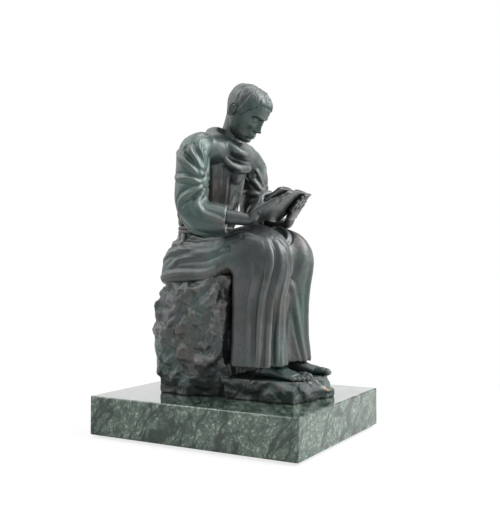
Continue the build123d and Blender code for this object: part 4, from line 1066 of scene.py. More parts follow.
SHOULDER = np.array([34.0, SHOULDER_Y, SHOULDER_Z])
SEAM = np.array([SEAM_X, SHOULDER_Y, SHOULDER_Z])
WRIST = book_point(BOOK_HALF_WIDTH + WRIST_RADIUS * 0.7, -BOOK_HEIGHT * 0.36, -6.6)


def elbow():
    """The elbow of an arm of two bones between shoulder and wrist, bent outward and back."""
    reach = np.linalg.norm(WRIST - SHOULDER)
    along = (WRIST - SHOULDER) / reach
    before = (UPPER_ARM**2 - FOREARM**2 + reach**2) / (2 * reach)
    pole = np.array([0.5, 0.6, -0.45])
    bend = unit(pole - along * (pole @ along))
    return SHOULDER + along * before + bend * math.sqrt(UPPER_ARM**2 - before**2)


ELBOW = elbow()
ARM_AXIS = unit(WRIST - ELBOW)
CUFF = ELBOW + ARM_AXIS * FOREARM_IN_SLEEVE


def sleeve_surface():
    """The sleeve as rings along the arm, from inside the shoulder round the elbow to the cuff,
    then turned in at the mouth. Rings on the upper arm drag down; those at the elbow crowd."""
    upper = ELBOW - SHOULDER
    side = np.array([1.0, 0, 0])
    down = unit(upper - side * upper[0])
    sag = np.array([0, 0, -4.0])
    centres, sizes = [], []
    for run in (-9.0, -4.0):
        centres.append(SEAM + side * run)
        sizes.append((11.5, 12.0))
    for turn in (0, 16, 32, 48, 64, 80):
        ahead, drop = math.sin(math.radians(turn)), 1 - math.cos(math.radians(turn))
        centres.append(SEAM + (side * (0.14 + 1.1 * ahead) + down * (1.1 * drop))
                       * SLEEVE_RADIUS)
        sizes.append((12.5, 12.3))
    centres += [SHOULDER + side * 4.55 + upper * 0.55, SHOULDER + upper * 0.85 + sag * 0.3,
                ELBOW + ARM_AXIS * 8.1 + sag * 0.7, CUFF - ARM_AXIS * 8.1 + sag * 0.8,
                CUFF + sag * 0.7]
    sizes += [(13.0, 12.35), (12.74, 12.35), (13.0, 12.74), (12.74, 13.0), (11.5, 12.65)]
    places = np.linspace(0, len(centres) - 1, 150)
    way, size = smooth_rows(centres, places), smooth_rows(sizes, places)
    rows = rings(way, (0, 1, 0), size, columns=110)
    lip = rows[-1]
    middle = lip.mean(axis=0)
    turned = [middle + (lip - middle) * scale + ARM_AXIS * push for scale, push in
              ((0.97, 0.5), (0.90, 0.65), (0.83, 0.4), (0.79, -0.6), (0.74, -3.5), (0.66, -8.0))]
    return rows, np.vstack([rows, np.array(turned)])


def sleeve_folds(surface, shape):
    """Folds of a bent sleeve, which spring from the crook of the elbow: up to the shoulder,
    round the elbow and along the forearm, on the outer and the inner side. Places across run
    from behind the arm, 0, over its outer side, 0.25, its front, 0.5, to its inner side."""
    folds = []

    def add(path, width, height, run=(0.5, 1.0, 0.5, 0.0)):
        folds.append((trace(surface, path), width, height * shape.fold_depth, run))

    crook = 0.655
    # outer side
    add([(crook - 0.03, 0.46), (0.52, 0.40), (0.40, 0.36), (0.27, 0.38)], 2.3, 1.5)
    add([(crook - 0.01, 0.44), (0.56, 0.32), (0.46, 0.22), (0.34, 0.20)], 2.6, 1.8)
    add([(crook, 0.41), (0.61, 0.26), (0.54, 0.12), (0.46, 0.04)], 2.5, 1.7)
    add([(crook + 0.02, 0.40), (0.665, 0.26), (0.655, 0.12), (0.63, 0.00)], 2.2, 1.4)
    add([(crook + 0.04, 0.42), (0.72, 0.30), (0.75, 0.18), (0.80, 0.07)], 2.4, 1.6)
    add([(crook + 0.05, 0.46), (0.77, 0.38), (0.86, 0.32), (0.97, 0.27)], 2.2, 1.3,
        (0.4, 1.0, 0.8, 0.6))
    # inner side
    add([(crook - 0.02, 0.55), (0.54, 0.62), (0.42, 0.66), (0.32, 0.64)], 2.3, 1.4)
    add([(crook, 0.58), (0.59, 0.70), (0.52, 0.80), (0.44, 0.86)], 2.4, 1.5)
    add([(crook + 0.02, 0.60), (0.67, 0.72), (0.66, 0.84), (0.63, 0.94)], 2.2, 1.3)
    add([(crook + 0.04, 0.57), (0.74, 0.68), (0.80, 0.78), (0.86, 0.86)], 2.3, 1.4)
    # slack under the forearm, and drags from the shoulder
    add([(0.70, 0.96), (0.80, 0.93), (0.90, 0.97), (1.0, 0.95)], 2.6, 1.5, (0.0, 1.0, 0.9, 0.6))
    add([(0.74, 0.06), (0.84, 0.08), (0.93, 0.04), (1.0, 0.06)], 2.2, 1.2, (0.0, 0.9, 1.0, 0.7))
    add([(0.16, 0.12), (0.26, 0.10), (0.36, 0.06), (0.50, 0.02)], 2.8, 1.6, (0.2, 1.0, 0.7, 0))
    add([(0.18, 0.33), (0.26, 0.30), (0.35, 0.27), (0.44, 0.27)], 2.4, 1.1, (0.1, 1.0, 0.6, 0))
    return folds


def torso_folds(surface, shape):
    """Folds of the body. Places across run from the reader's left, 0, over the back, 0.25, to
    the right, 0.5, and the front, 0.75. Both halves drop from the shoulders and the armpits
    and draw together at the girdle; swags hang under the collar in front."""
    folds = []

    def add(path, width, height, run=(0.3, 1.0, 0.2)):
        folds.append((trace(surface, path), width, height * shape.fold_depth, run))

    for flip, drift in ((False, 0.0), (True, 0.012)):
        def c(column):
            return 0.5 - column + drift if flip else column
        more = 0.85 if flip else 1.1
        # the back, from the shoulders to the girdle
        add([(0.03, c(0.236)), (0.25, c(0.232)), (0.42, c(0.222)), (0.54, c(0.215))], 3.0,
            1.7 * more, (0.9, 1.0, 0.7, 0.0))
        add([(0.03, c(0.205)), (0.22, c(0.196)), (0.46, c(0.166)), (0.74, c(0.140))], 3.3,
            2.2, (0.9, 1.0, 0.9, 0.3))
        add([(0.03, c(0.165)), (0.20, c(0.150)), (0.40, c(0.118)), (0.66, c(0.088))], 3.3,
            2.1 * more, (0.9, 1.0, 0.9, 0.3))
        add([(0.03, c(0.125)), (0.16, c(0.108)), (0.32, c(0.075)), (0.54, c(0.042))], 3.0,
            1.8, (0.9, 1.0, 0.8, 0.2))
        for k in range(4):
            add([(0.03, c(0.222 - 0.038 * k)), (0.10, c(0.219 - 0.040 * k)),
                 (0.17 - 0.02 * (k % 2), c(0.214 - 0.043 * k))], 1.8, 1.1, (1.0, 0.9, 0.0))
        # from the armpit to the waist
        add([(0.62, c(0.00)), (0.42, c(0.03)), (0.24, c(0.065)), (0.04, c(0.09))], 2.6, 1.6,
            (0.3, 1.0, 0.8, 0.8))
        add([(0.60, c(-0.04)), (0.38, c(-0.04)), (0.18, c(-0.07)), (0.03, c(-0.085))], 2.6,
            1.6 * more, (0.3, 1.0, 0.8, 0.8))
        add([(0.34, c(0.03)), (0.20, c(0.02)), (0.03, c(0.035))], 2.0, 1.1, (0.0, 1.0, 0.8))
        # the breast, from under the collar to the girdle
        for k, lift in enumerate((1.0, 0.8, 1.1)):
            add([(0.70, c(-0.075 - 0.040 * k)), (0.50, c(-0.12 - 0.033 * k)),
                 (0.28, c(-0.155 - 0.027 * k)), (0.04, c(-0.185 - 0.020 * k))],
                2.8, 2.1 * lift * more, (0.0, 0.8, 1.0, 0.8))
    # slack cloth that crosses the breast on the slant
    add([(0.66, 0.855), (0.50, 0.80), (0.36, 0.735), (0.22, 0.655)], 3.0, 1.5, (0, 1, 0.9, 0.1))
    add([(0.58, 0.875), (0.40, 0.82), (0.26, 0.755), (0.14, 0.69)], 2.6, 1.3, (0, 1, 0.9, 0.1))
    return folds


def yoke_form():
    """The cloth over the shoulders: rings along a level line from seam to seam."""
    x = np.linspace(-SEAM_X, SEAM_X, 60)
    share = np.abs(x) / SEAM_X
    centres = np.stack([x, 0 * x + SHOULDER_Y, 0 * x + SHOULDER_Z], axis=-1)
    wide = SLEEVE_RADIUS * (1.30 - 0.12 * share**2 - 0.18 * share**4)
    deep = SLEEVE_RADIUS * (1.10 - 0.02 * share**2 - 0.08 * share**4)
    return grid(rings(centres, (0, 1, 0), np.stack([wide, deep], axis=-1), columns=90))


def upper_robe_form(shape):
    """The body, shoulders, collar, hood and sleeves melted into one skin, with the folds of
    the body and both arms pressed in and a soft unevenness over all."""
    mirror = np.array([-1.0, 1, 1])
    torso = torso_surface(shape)
    sleeve, full = sleeve_surface()
    form = melt(together(grid(torso), yoke_form(), shoulder_form(1), shoulder_form(-1),
                         cowl_form(shape), hood_form(shape), grid(full), grid(full * mirror)),
                UPPER_ROBE_GRAIN, 4)
    folds = torso_folds(torso, shape)
    arm = sleeve_folds(sleeve, shape)
    folds += arm + [(path * np.tile(mirror, 2), width, height, run)
                    for path, width, height, run in arm]
    form = press(form, folds)
    points = form[0]
    drift = noise(points, 8, 15, 2) * 0.36 + noise(points, 3.0, 18, 2) * 0.09
    return raise_by(form, drift * shape.fold_depth)


def rope_form():
    """A girdle of two rounds of rope: a section of two lobes carried round the waist, turning
    as it goes."""
    turns = 46
    angle = np.linspace(0, 2 * np.pi, 1150, endpoint=False)[:, None]
    section = np.linspace(0, 2 * np.pi, 22, endpoint=False)[None]
    way = np.stack([np.cos(angle), np.sin(angle)], axis=-1)
    waist = np.array([WAIST_HALF_WIDTH, WAIST_HALF_DEPTH])
    out = np.concatenate([way * waist, 0 * angle[..., None]], axis=-1)
    normal = unit(np.concatenate([way / waist, 0 * angle[..., None]], axis=-1))
    lobe = np.abs(np.cos(section - turns / 2 * angle))
    reach = 0.72 + 0.34 * lobe
    lift = np.array([0, 0, 1.0])
    forms = []
    for level in (-1.55, 1.55):
        centre = np.array([0, SPINE_Y, GIRDLE_Z + level]) + out + normal * 0.6
        forms.append(loop(centre + normal * (1.5 * reach * np.cos(section))[..., None]
                          + lift * (1.62 * reach * np.sin(section))[..., None]))
    return together(*forms)


def knot_form():
    """The knot: a ring of rope over the girdle, a loop through it and two short tails, each a
    lobed section twisted along its path."""
    centre = np.array([-WAIST_HALF_WIDTH * 0.80, SPINE_Y - WAIST_HALF_DEPTH * 0.68, GIRDLE_Z])
    out = unit(np.array([-0.62, -0.78, 0.0]))
    side = np.array([-out[1], out[0], 0])
    lift = np.array([0, 0, 1.0])

    def strand(path, radius, twists, rows=120):
        path = [centre + out * a + side * b + lift * c for a, b, c in path]
        way = smooth_rows(path, np.linspace(0, len(path) - 1, rows))
        ahead = unit(np.gradient(way, axis=0))
        first = unit(np.cross(ahead, out + 0.01 * side))
        second = np.cross(ahead, first)
        share = np.linspace(0, 1, rows)[:, None]
        section = np.linspace(0, 2 * np.pi, 18, endpoint=False)[None]
        reach = radius * (0.74 + 0.30 * np.abs(np.cos(section - twists * np.pi * share)))
        return grid(way[:, None] + first[:, None] * (reach * np.cos(section))[..., None]
                    + second[:, None] * (reach * np.sin(section))[..., None])

    return together(
        strand([(1.0, 2.4, 3.6), (3.0, 0.9, 3.9), (3.6, -1.2, 1.4), (3.0, -1.6, -1.6),
                (1.6, -0.8, -4.2), (0.6, 1.0, -4.4)], 1.55, 9),
        strand([(0.8, -3.4, 2.8), (2.6, -1.8, 2.6), (3.8, 0.8, 0.6), (3.0, 2.6, -1.4),
                (1.0, 4.2, -2.6)], 1.5, 8),
        strand([(2.0, -0.6, -1.6), (2.6, -1.4, -4.6), (2.9, -2.0, -8.4), (3.9, -2.6, -12.4)],
               1.3, 9),
        strand([(2.2, 1.2, -1.8), (2.7, 1.7, -4.4), (3.0, 1.6, -7.4), (3.9, 2.2, -10.4)],
               1.3, 8),
        ball(centre + out * 4.0 - side * 2.7 - lift * 13.0, 1.75, 1.75, 1.9),
        ball(centre + out * 4.0 + side * 2.3 - lift * 11.0, 1.75, 1.75, 1.9))


# ---------------------------------------------------------------- head
HEAD_ROWS = (
    (0.00, 0.56, -0.10, 0.24), (0.045, 0.76, 0.06, 0.48), (0.13, 0.84, 0.28, 0.68),
    (0.25, 0.865, 0.56, 0.80), (0.36, 0.87, 0.80, 0.88), (0.48, 0.88, 0.97, 0.94),
    (0.60, 0.915, 1.05, 0.97), (0.72, 0.90, 1.05, 1.00), (0.84, 0.77, 0.95, 0.92),
    (0.93, 0.54, 0.72, 0.70), (0.985, 0.27, 0.38, 0.36), (1.00, 0.10, 0.14, 0.12),
)
HAIRLINE = ((0, 0.80), (30, 0.79), (50, 0.68), (64, 0.58), (76, 0.44), (100, 0.42),
            (126, 0.30), (180, 0.22))


def head_axes():
    """The middle of the head, and the ways across it, ahead of the face and up to the crown."""
    up = np.array([0, -math.sin(HEAD_BOW), math.cos(HEAD_BOW)])
    face = np.array([0, -math.cos(HEAD_BOW), -math.sin(HEAD_BOW)])
    top = neck_axes()[2]
    middle = top + up * HEAD_ABOVE_NECK + face * HEAD_BEFORE_NECK
    return middle, np.array([-1.0, 0, 0]), face, up


def neck_axes():
    """The neck's seat in the collar, the way up through it and its top in the skull."""
    origin, _, _, neck = cowl_axes()
    seat = origin - neck * NECK_SINK
    return seat, neck, seat + neck * NECK_LENGTH


def head_surface(shape):
    """The head as level rows from chin to crown. A row's reach ahead, behind and aside comes
    from the table; the face is then worked in its own front view, x across and z up from the
    chin in millimetres, as soft bumps and cuts; hair is raised in locks behind its line."""
    rows, columns = 280, 280
    table = smooth_rows(HEAD_ROWS, np.linspace(0, len(HEAD_ROWS) - 1, rows))
    height, ahead, behind, wide = (table[:, k:k + 1] for k in range(4))
    front = np.linspace(-1, 1, columns, endpoint=False)[None]
    angle = np.pi * (0.62 * front + 0.38 * front**3)
    c, s = np.cos(angle), np.sin(angle)
    x = wide * HEAD_HALF_WIDTH * power(s, 0.93)
    y = np.where(c > 0, ahead, behind) * HEAD_HALF_DEPTH * power(c, 0.90)
    z = height * HEAD_HEIGHT + 0 * x
    mask = ease(c, 0.15, 0.55)
    side = np.abs(x)

    def spot(px, pz, wx, wz, rise):
        return rise * np.exp(-((side - px) / wx) ** 2 - ((z - pz) / wz) ** 2)

    face = 0 * x
    # brow, sockets, lids and the line between the lowered lids
    face += spot(5.4, 24.6, 4.6, 1.7, 1.15) + spot(1.2, 24.0, 2.2, 2.0, 0.45)
    face += spot(5.9, 21.0, 3.5, 2.3, -2.3) + spot(2.6, 21.4, 1.3, 1.8, -0.9)
    globe = np.clip(1 - ((side - 5.9) / 3.1) ** 2 - ((z - 20.6) / 2.25) ** 2, 0, 1)
    face += 1.75 * np.sqrt(globe + 1e-9) * (globe > 0)
    upper_line = 22.5 - 0.10 * (side - 5.7) ** 2
    face -= 0.42 * bell(z - upper_line, 0.38) * bell(side - 5.9, 3.4)
    lid_line = 19.55 + 0.055 * (side - 5.9) ** 2 - 0.02 * (side - 5.9)
    face -= 0.60 * bell(z - lid_line, 0.30) * bell(side - 5.9, 2.9)
    face += 0.32 * bell(z - lid_line - 0.62, 0.34) * bell(side - 5.9, 2.8)
    face += 0.22 * bell(z - lid_line + 0.60, 0.36) * bell(side - 5.9, 2.6)
    # nose: bridge, ball, wings and nostrils
    bridge = ease(z, 11.6, 14.0) * (1 - ease(z, 22.0, 26.0))
    ridge = 1.5 + 2.6 * (1 - ease(z, 13.5, 23.0)) ** 1.15
    width = 1.35 + 1.0 * (1 - ease(z, 13.0, 20.0))
    face += bridge * ridge * np.exp(-np.abs(x / width) ** 2.3)
    face += spot(0, 13.9, 1.9, 1.5, 1.0) + spot(2.45, 13.6, 1.05, 1.25, 1.25)
    face += spot(1.35, 12.1, 0.75, 0.55, -1.3)
    # cheeks, folds beside the nose and the muzzle
    face += spot(8.3, 16.8, 3.2, 2.8, 0.85) + spot(7.2, 10.0, 2.6, 3.0, -0.55)
    crease = 4.0 + 0.36 * (13.2 - z)
    face -= 0.42 * bell(side - crease, 0.55) * ease(z, 7.5, 9.5) * (1 - ease(z, 13.0, 14.4))
    face += 1.15 * np.exp(-(x / 5.2) ** 2 - ((z - 8.8) / 3.2) ** 2)
    face -= 0.38 * np.exp(-(x / 0.7) ** 2) * ease(z, 9.6, 10.2) * (1 - ease(z, 11.2, 12.2))
    # lips with their line, the dip under them and the chin
    bow = 8.35 - 0.012 * x**2
    mouth = np.exp(-(np.abs(x) / 4.3) ** 4)
    upper = bow + 0.95 - 0.05 * np.abs(x) - 0.22 * np.exp(-(x / 0.7) ** 2)
    face += 0.95 * bell(z - upper + 0.25, 0.72) * mouth
    face += 1.10 * bell(z - bow + 1.15, 0.86) * np.exp(-(np.abs(x) / 3.6) ** 3)
    face -= 1.00 * bell(z - bow, 0.30) * mouth
    face -= 0.35 * bell(side - 4.5, 0.5) * bell(z - bow, 0.6)
    face -= 0.85 * np.exp(-(x / 3.6) ** 2 - ((z - 5.0) / 0.95) ** 2)
    face += 1.35 * np.exp(-(x / 3.7) ** 2 - ((z - 2.6) / 2.0) ** 2)
    # temples and forehead
    face += spot(11.0, 27.0, 2.4, 4.5, -0.6) + spot(3.6, 31.0, 4.0, 3.2, 0.35)
    # hair in locks that run from the crown
    off = np.degrees(np.abs(angle))
    edge = np.interp(off, *np.array(HAIRLINE).T)
    ragged = 0.012 * np.sin(off / 2.1) + 0.008 * np.sin(off / 0.9 + 1)
    hair = ease(height - edge + ragged, -0.012, 0.045) * ease(wide, 0.0, 0.4)
    around = np.arctan2(x, y + 3.0)
    reach = np.hypot(x, y + 3.0) / HEAD_HALF_WIDTH + (1 - height) * 2.2
    flow = np.stack([np.cos(around) * 5.2, np.sin(around) * 5.2, reach * 1.25], axis=-1)
    sway = noise(flow, 1.6, 4)[..., None] * (0.9, 0.9, 0.0)
    locks = noise(flow + sway, 0.62, 7, 2)
    strands = noise((flow + sway) * (1, 1, 0.42), 0.20, 9, 2)
    tuft = 1.15 + 0.95 * locks + 0.20 * strands
    lift = mask * face + hair * tuft * shape.hair_depth
    out_x, out_y = s * 0.55, c
    up = np.zeros_like(z) + 0.85 * ease(height, 0.80, 1.0)
    flat = 1 - 0.6 * ease(height, 0.86, 1.0)
    px = x + lift * out_x * flat * (1 + 0.35 * hair)
    py = y + lift * out_y * flat
    pz = z + lift * hair * up
    origin, across, forward, upward = head_axes()
    return (origin + px[..., None] * across + py[..., None] * forward
            + (pz - HEAD_HEIGHT / 2)[..., None] * upward)


def ear_form(side):
    """An ear: a leaf set on the head, a rim carried round it, an inner fold, the small flap in
    front and the lobe, melted together."""
    origin, across, forward, up = head_axes()

    def at(out, back, rise):
        return (origin + across * side * (14.0 + out) - forward * (1.6 + back)
                + up * (rise - 2.2))

    axes = np.array([across * side, -forward, up])
    leaf = ball(at(0.6, 2.1, 0.4), 1.0, 2.9, 4.7, axes)
    rim = tube([at(0.6, 0.5, 0.2), at(1.2, -0.2, 2.6), at(2.0, 1.6, 5.2), at(2.5, 4.0, 4.7),
                at(2.7, 5.0, 2.0), at(2.1, 4.2, -1.2), at(1.1, 2.9, -3.4)], across,
               [(0.85, 0.85)] * 7, columns=12, rows=40)
    fold = tube([at(1.2, 1.9, 3.6), at(1.9, 3.2, 2.2), at(1.9, 3.2, 0.0), at(1.5, 2.2, -2.4)],
                across, [(0.6, 0.6), (0.75, 0.75), (0.75, 0.75), (0.6, 0.6)], columns=10,
                rows=20)
    flap = ball(at(1.3, 0.3, -0.8), 0.8, 0.8, 1.2, axes)
    lobe = ball(at(0.7, 2.1, -3.9), 0.95, 1.5, 1.4, axes)
    return melt(together(leaf, rim, fold, flap, lobe), EAR_GRAIN, 3)


def neck_form():
    """The neck as rings from its seat in the collar into the skull, with the two muscles that
    run forward to the throat as swellings of the rings."""
    _, across, forward, _ = head_axes()
    seat, neck, top = neck_axes()
    behind = unit(np.cross(across, neck))
    start = seat + neck * 2
    end = top + forward * -1.5 + neck * 9
    way = np.array([start + (end - start) * k for k in np.linspace(0, 1, 40)])
    angle = 2 * np.pi * np.arange(96) / 96
    swell = 1 + 0.07 * bell(np.abs(np.abs(angle - np.pi) - 0.75), 0.28) - 0.05 * bell(
        angle - np.pi, 0.35)
    rows = []
    for k, centre in enumerate(way):
        share = k / (len(way) - 1)
        wide = 8.6 * (1.04 - 0.13 * math.sin(math.pi * min(1, share * 1.1)))
        rows.append(centre + across * (wide * swell * np.sin(angle))[:, None]
                    + behind * (wide * 1.05 * swell * np.cos(angle))[:, None])
    return grid(np.array(rows))


# ---------------------------------------------------------------- hands
FINGERS = ((0.76, 0.90, 1.0), (0.26, 1.0, 1.02), (-0.25, 0.96, 0.98), (-0.74, 0.78, 0.86))
JOINTS = ((-0.15, 0.95), (0.06, 1.16), (0.28, 0.95), (0.45, 1.10), (0.62, 0.90), (0.76, 0.98),
          (0.90, 0.84), (1.0, 0.45))


def hand_form():
    """The reader's left forearm and hand, in the pose of the solid one: palm and four jointed
    fingers under the book, the thumb over its edge on the page, melted into one skin. The
    right hand is its mirror."""
    foot = CUFF - ARM_AXIS * 8.0
    palm_level = -(BOARD_THICKNESS + PALM_HALF_DEPTH + TOUCH_GAP)
    finger_level = -(BOARD_THICKNESS + FINGER_RADIUS + TOUCH_GAP)
    heel = book_point(BOOK_HALF_WIDTH + PALM_HALF_WIDTH * 0.3, -BOOK_HEIGHT * 0.2, palm_level)
    aim = book_point(2 * BOOK_HALF_WIDTH * 0.34, BOOK_HEIGHT * 0.2, palm_level)
    palm = unit(aim - heel)
    normal = book_axes()[3]
    side = np.array([1.0, 0, 0])
    side = unit(side - palm * (side @ palm))
    knuckle = heel + palm * PALM_LENGTH
    forms = [tube([foot, foot + (WRIST - foot) * 0.6, WRIST, heel, heel + palm * 7.5, knuckle],
                  side, [(6.2, 6.2), (5.5, 5.3), (4.7, 3.8), (6.1, 3.2), (7.2, 3.1), (7.0, 2.3)],
                  columns=40, rows=60)]
    lift = normal * (finger_level - palm_level)
    for spread, reach, size in FINGERS:
        root = knuckle + side * (spread * PALM_HALF_WIDTH) + lift
        way = palm * (FINGER_LENGTH * reach) - side * (spread * 1.9)
        path = [root + way * share for share, _ in JOINTS]
        forms.append(tube(path, normal, [(FINGER_RADIUS * size * r,) * 2 for _, r in JOINTS],
                          columns=20, rows=44))
    on_page = PAGES_HEIGHT + THUMB_RADIUS * 0.75
    thumb = [(heel + side * 2.5, 3.45, 2.9),
             (book_point(29.3, -0.76, -0.9), 3.0, 2.65),
             (book_point(26.1, 1.9, on_page * 0.72), 2.4, 2.3),
             (book_point(21.5, 4.6, on_page * 0.94), 2.35, 2.2),
             (book_point(19.0, 5.7, on_page), 2.25, 1.9),
             (book_point(17.3, 6.5, on_page), 1.8, 1.55),
             (book_point(16.2, 6.85, on_page), 0.9, 0.8)]
    forms.append(tube([p for p, _, _ in thumb], normal, [(a, b) for _, a, b in thumb],
                      columns=24, rows=56))
    form = melt(together(*forms), HAND_GRAIN, 6)
    local = form[0] - book_point(18.4, 6.0, on_page + 1.9)
    thumb_way = unit(book_point(16.2, 6.85, 0) - book_point(21.5, 4.6, 0))
    oval = (local @ thumb_way / 1.9) ** 2 + (local @ np.cross(normal, thumb_way) / 1.35) ** 2
    nail = 0.22 * (1 - ease(oval, 0.75, 1.0)) * (np.abs(local @ normal) < 1.4)
    return raise_by(form, nail)


# ---------------------------------------------------------------- feet
FOOT_ROWS = ((0.00, 0.45, 0.40), (0.06, 0.66, 0.66), (0.20, 0.70, 0.98), (0.36, 0.74, 0.92),
             (0.55, 0.88, 0.64), (0.72, 1.00, 0.44), (0.82, 0.97, 0.34))
TOES = ((0.72, 0.78, 1.15, 1.35), (0.28, 0.79, 1.1, 0.95), (-0.08, 0.78, 0.95, 0.9),
        (-0.42, 0.76, 0.85, 0.85), (-0.74, 0.73, 0.75, 0.85))
TOE_JOINTS = ((-0.1, 1.05, 0.9), (0.2, 1.15, 1.0), (0.45, 1.28, 1.0), (0.62, 1.02, 0.94),
              (0.80, 0.86, 1.08), (0.96, 0.80, 0.86), (1.05, 0.75, 0.45))


def foot_form(x, side):
    """A bare foot: ovals from heel to ball, an ankle with its two knobs, five jointed toes and
    the tendons that fan over the instep, melted together and stood flat on the ledge."""
    turn = FOOT_TURN * side
    forward = np.array([math.sin(turn), -math.cos(turn), 0])
    inner = np.array([-math.cos(turn), -math.sin(turn), 0]) * side
    up = np.array([0, 0, 1.0])
    heel = np.array([x, ANKLE_Y, LEDGE_TOP]) - forward * (FOOT_LENGTH * 0.22)
    rows = smooth_rows(FOOT_ROWS, np.linspace(0, len(FOOT_ROWS) - 1, 48))
    place, wide, high = rows.T
    half = FOOT_HEIGHT * high / 2
    centres = heel + forward * (place * FOOT_LENGTH)[:, None] + up * (half * 0.86)[:, None]
    angle = 2 * np.pi * (np.arange(48) + 0.5) / 48
    across = FOOT_HALF_WIDTH * wide[:, None] * power(np.cos(angle), 0.85)
    rise = half[:, None] * power(np.sin(angle), 0.85)
    points = centres[:, None] + inner * across[..., None] + up * rise[..., None]
    forms = [grid(points)]
    for spread, start, long, size in TOES:
        radius = TOE_RADIUS * size
        root = heel + forward * (start * FOOT_LENGTH) + inner * (spread * FOOT_HALF_WIDTH)
        path = [root + forward * (TOE_LENGTH * long * share) + up * (radius * lift)
                for share, lift, _ in TOE_JOINTS]
        forms.append(tube(path, up, [(radius * w * 0.98, radius * w) for _, _, w in TOE_JOINTS],
                          columns=20, rows=40))
    top = HEM_Z + 12
    forms.append(tube([np.array([x, ANKLE_Y, LEDGE_TOP + 3.5]),
                       np.array([x, ANKLE_Y, LEDGE_TOP + 9.0]),
                       np.array([x, ANKLE_Y, HEM_Z + 3]), np.array([x, ANKLE_Y, top])],
                      (1, 0, 0), [(6.6, 7.6), (6.2, 7.4), (6.2, 7.0), (6.8, 7.0)], columns=40))
    for way, rise in ((1, 9.6), (-1, 8.6)):
        forms.append(ball(np.array([x, ANKLE_Y, LEDGE_TOP + rise]) + inner * (5.4 * way)
                          + forward * 0.6 * way, 1.9, 2.3, 2.4))
    form = melt(together(*forms), FOOT_GRAIN, 5)
    folds = []
    for spread, start, _, _ in TOES:
        tip = heel + forward * (start * FOOT_LENGTH + 3) + inner * (spread * FOOT_HALF_WIDTH)
        path = np.array([heel + forward * 17 + up * 14.0,
                         heel + forward * 24 + inner * (spread * 4.0) + up * 11.4,
                         heel + forward * 31 + inner * (spread * 6.6) + up * 7.8,
                         tip + up * 5.0])
        path = smooth_rows(path, np.linspace(0, 3, 20))
        folds.append((path, 1.1, 0.65, (0.0, 0.9, 1.0, 0.3)))
    form = press(form, folds)
    nails = 0
    for spread, start, long, size in TOES:
        radius = TOE_RADIUS * size
        centre = (heel + forward * (start * FOOT_LENGTH + TOE_LENGTH * long * 0.86)
                  + inner * (spread * FOOT_HALF_WIDTH)
                  + up * (radius * 0.85 + radius * 0.72))
        local = form[0] - centre
        oval = ((local @ forward) / (0.95 * radius)) ** 2 + ((local @ inner) / (
            0.62 * radius)) ** 2
        nails = nails + 0.20 * (1 - ease(oval, 0.72, 1.0)) * (local[:, 2] > -1.0)
    points, faces = raise_by(form, nails)
    points[:, 2] = np.maximum(points[:, 2], LEDGE_TOP)
    return points, faces


# ---------------------------------------------------------------- book
WALL_ROWS = 78


def book_cover_form():
    """Two boards joined by a spine: a flat plate with rounded edges, its outline a rectangle
    with clipped corners, carried through its thickness."""
    origin, across, up_page, off = book_axes()
    rim = clipped_rectangle(BOOK_HALF_WIDTH, BOOK_HALF_HEIGHT, 1.0, 360)
    rows = []
    for inset, level in ((2.0, -BOARD_THICKNESS), (0.5, -BOARD_THICKNESS), (0.12, -1.25),
                         (0.0, -1.0), (0.0, -0.4), (0.12, -0.12), (0.5, 0.0), (2.0, 0.0)):
        edge = rim * (1 - inset / np.array([BOOK_HALF_WIDTH, BOOK_HALF_HEIGHT]))
        rows.append(origin + across * edge[:, :1] + up_page * edge[:, 1:] + off * level)
    return grid(np.array(rows))


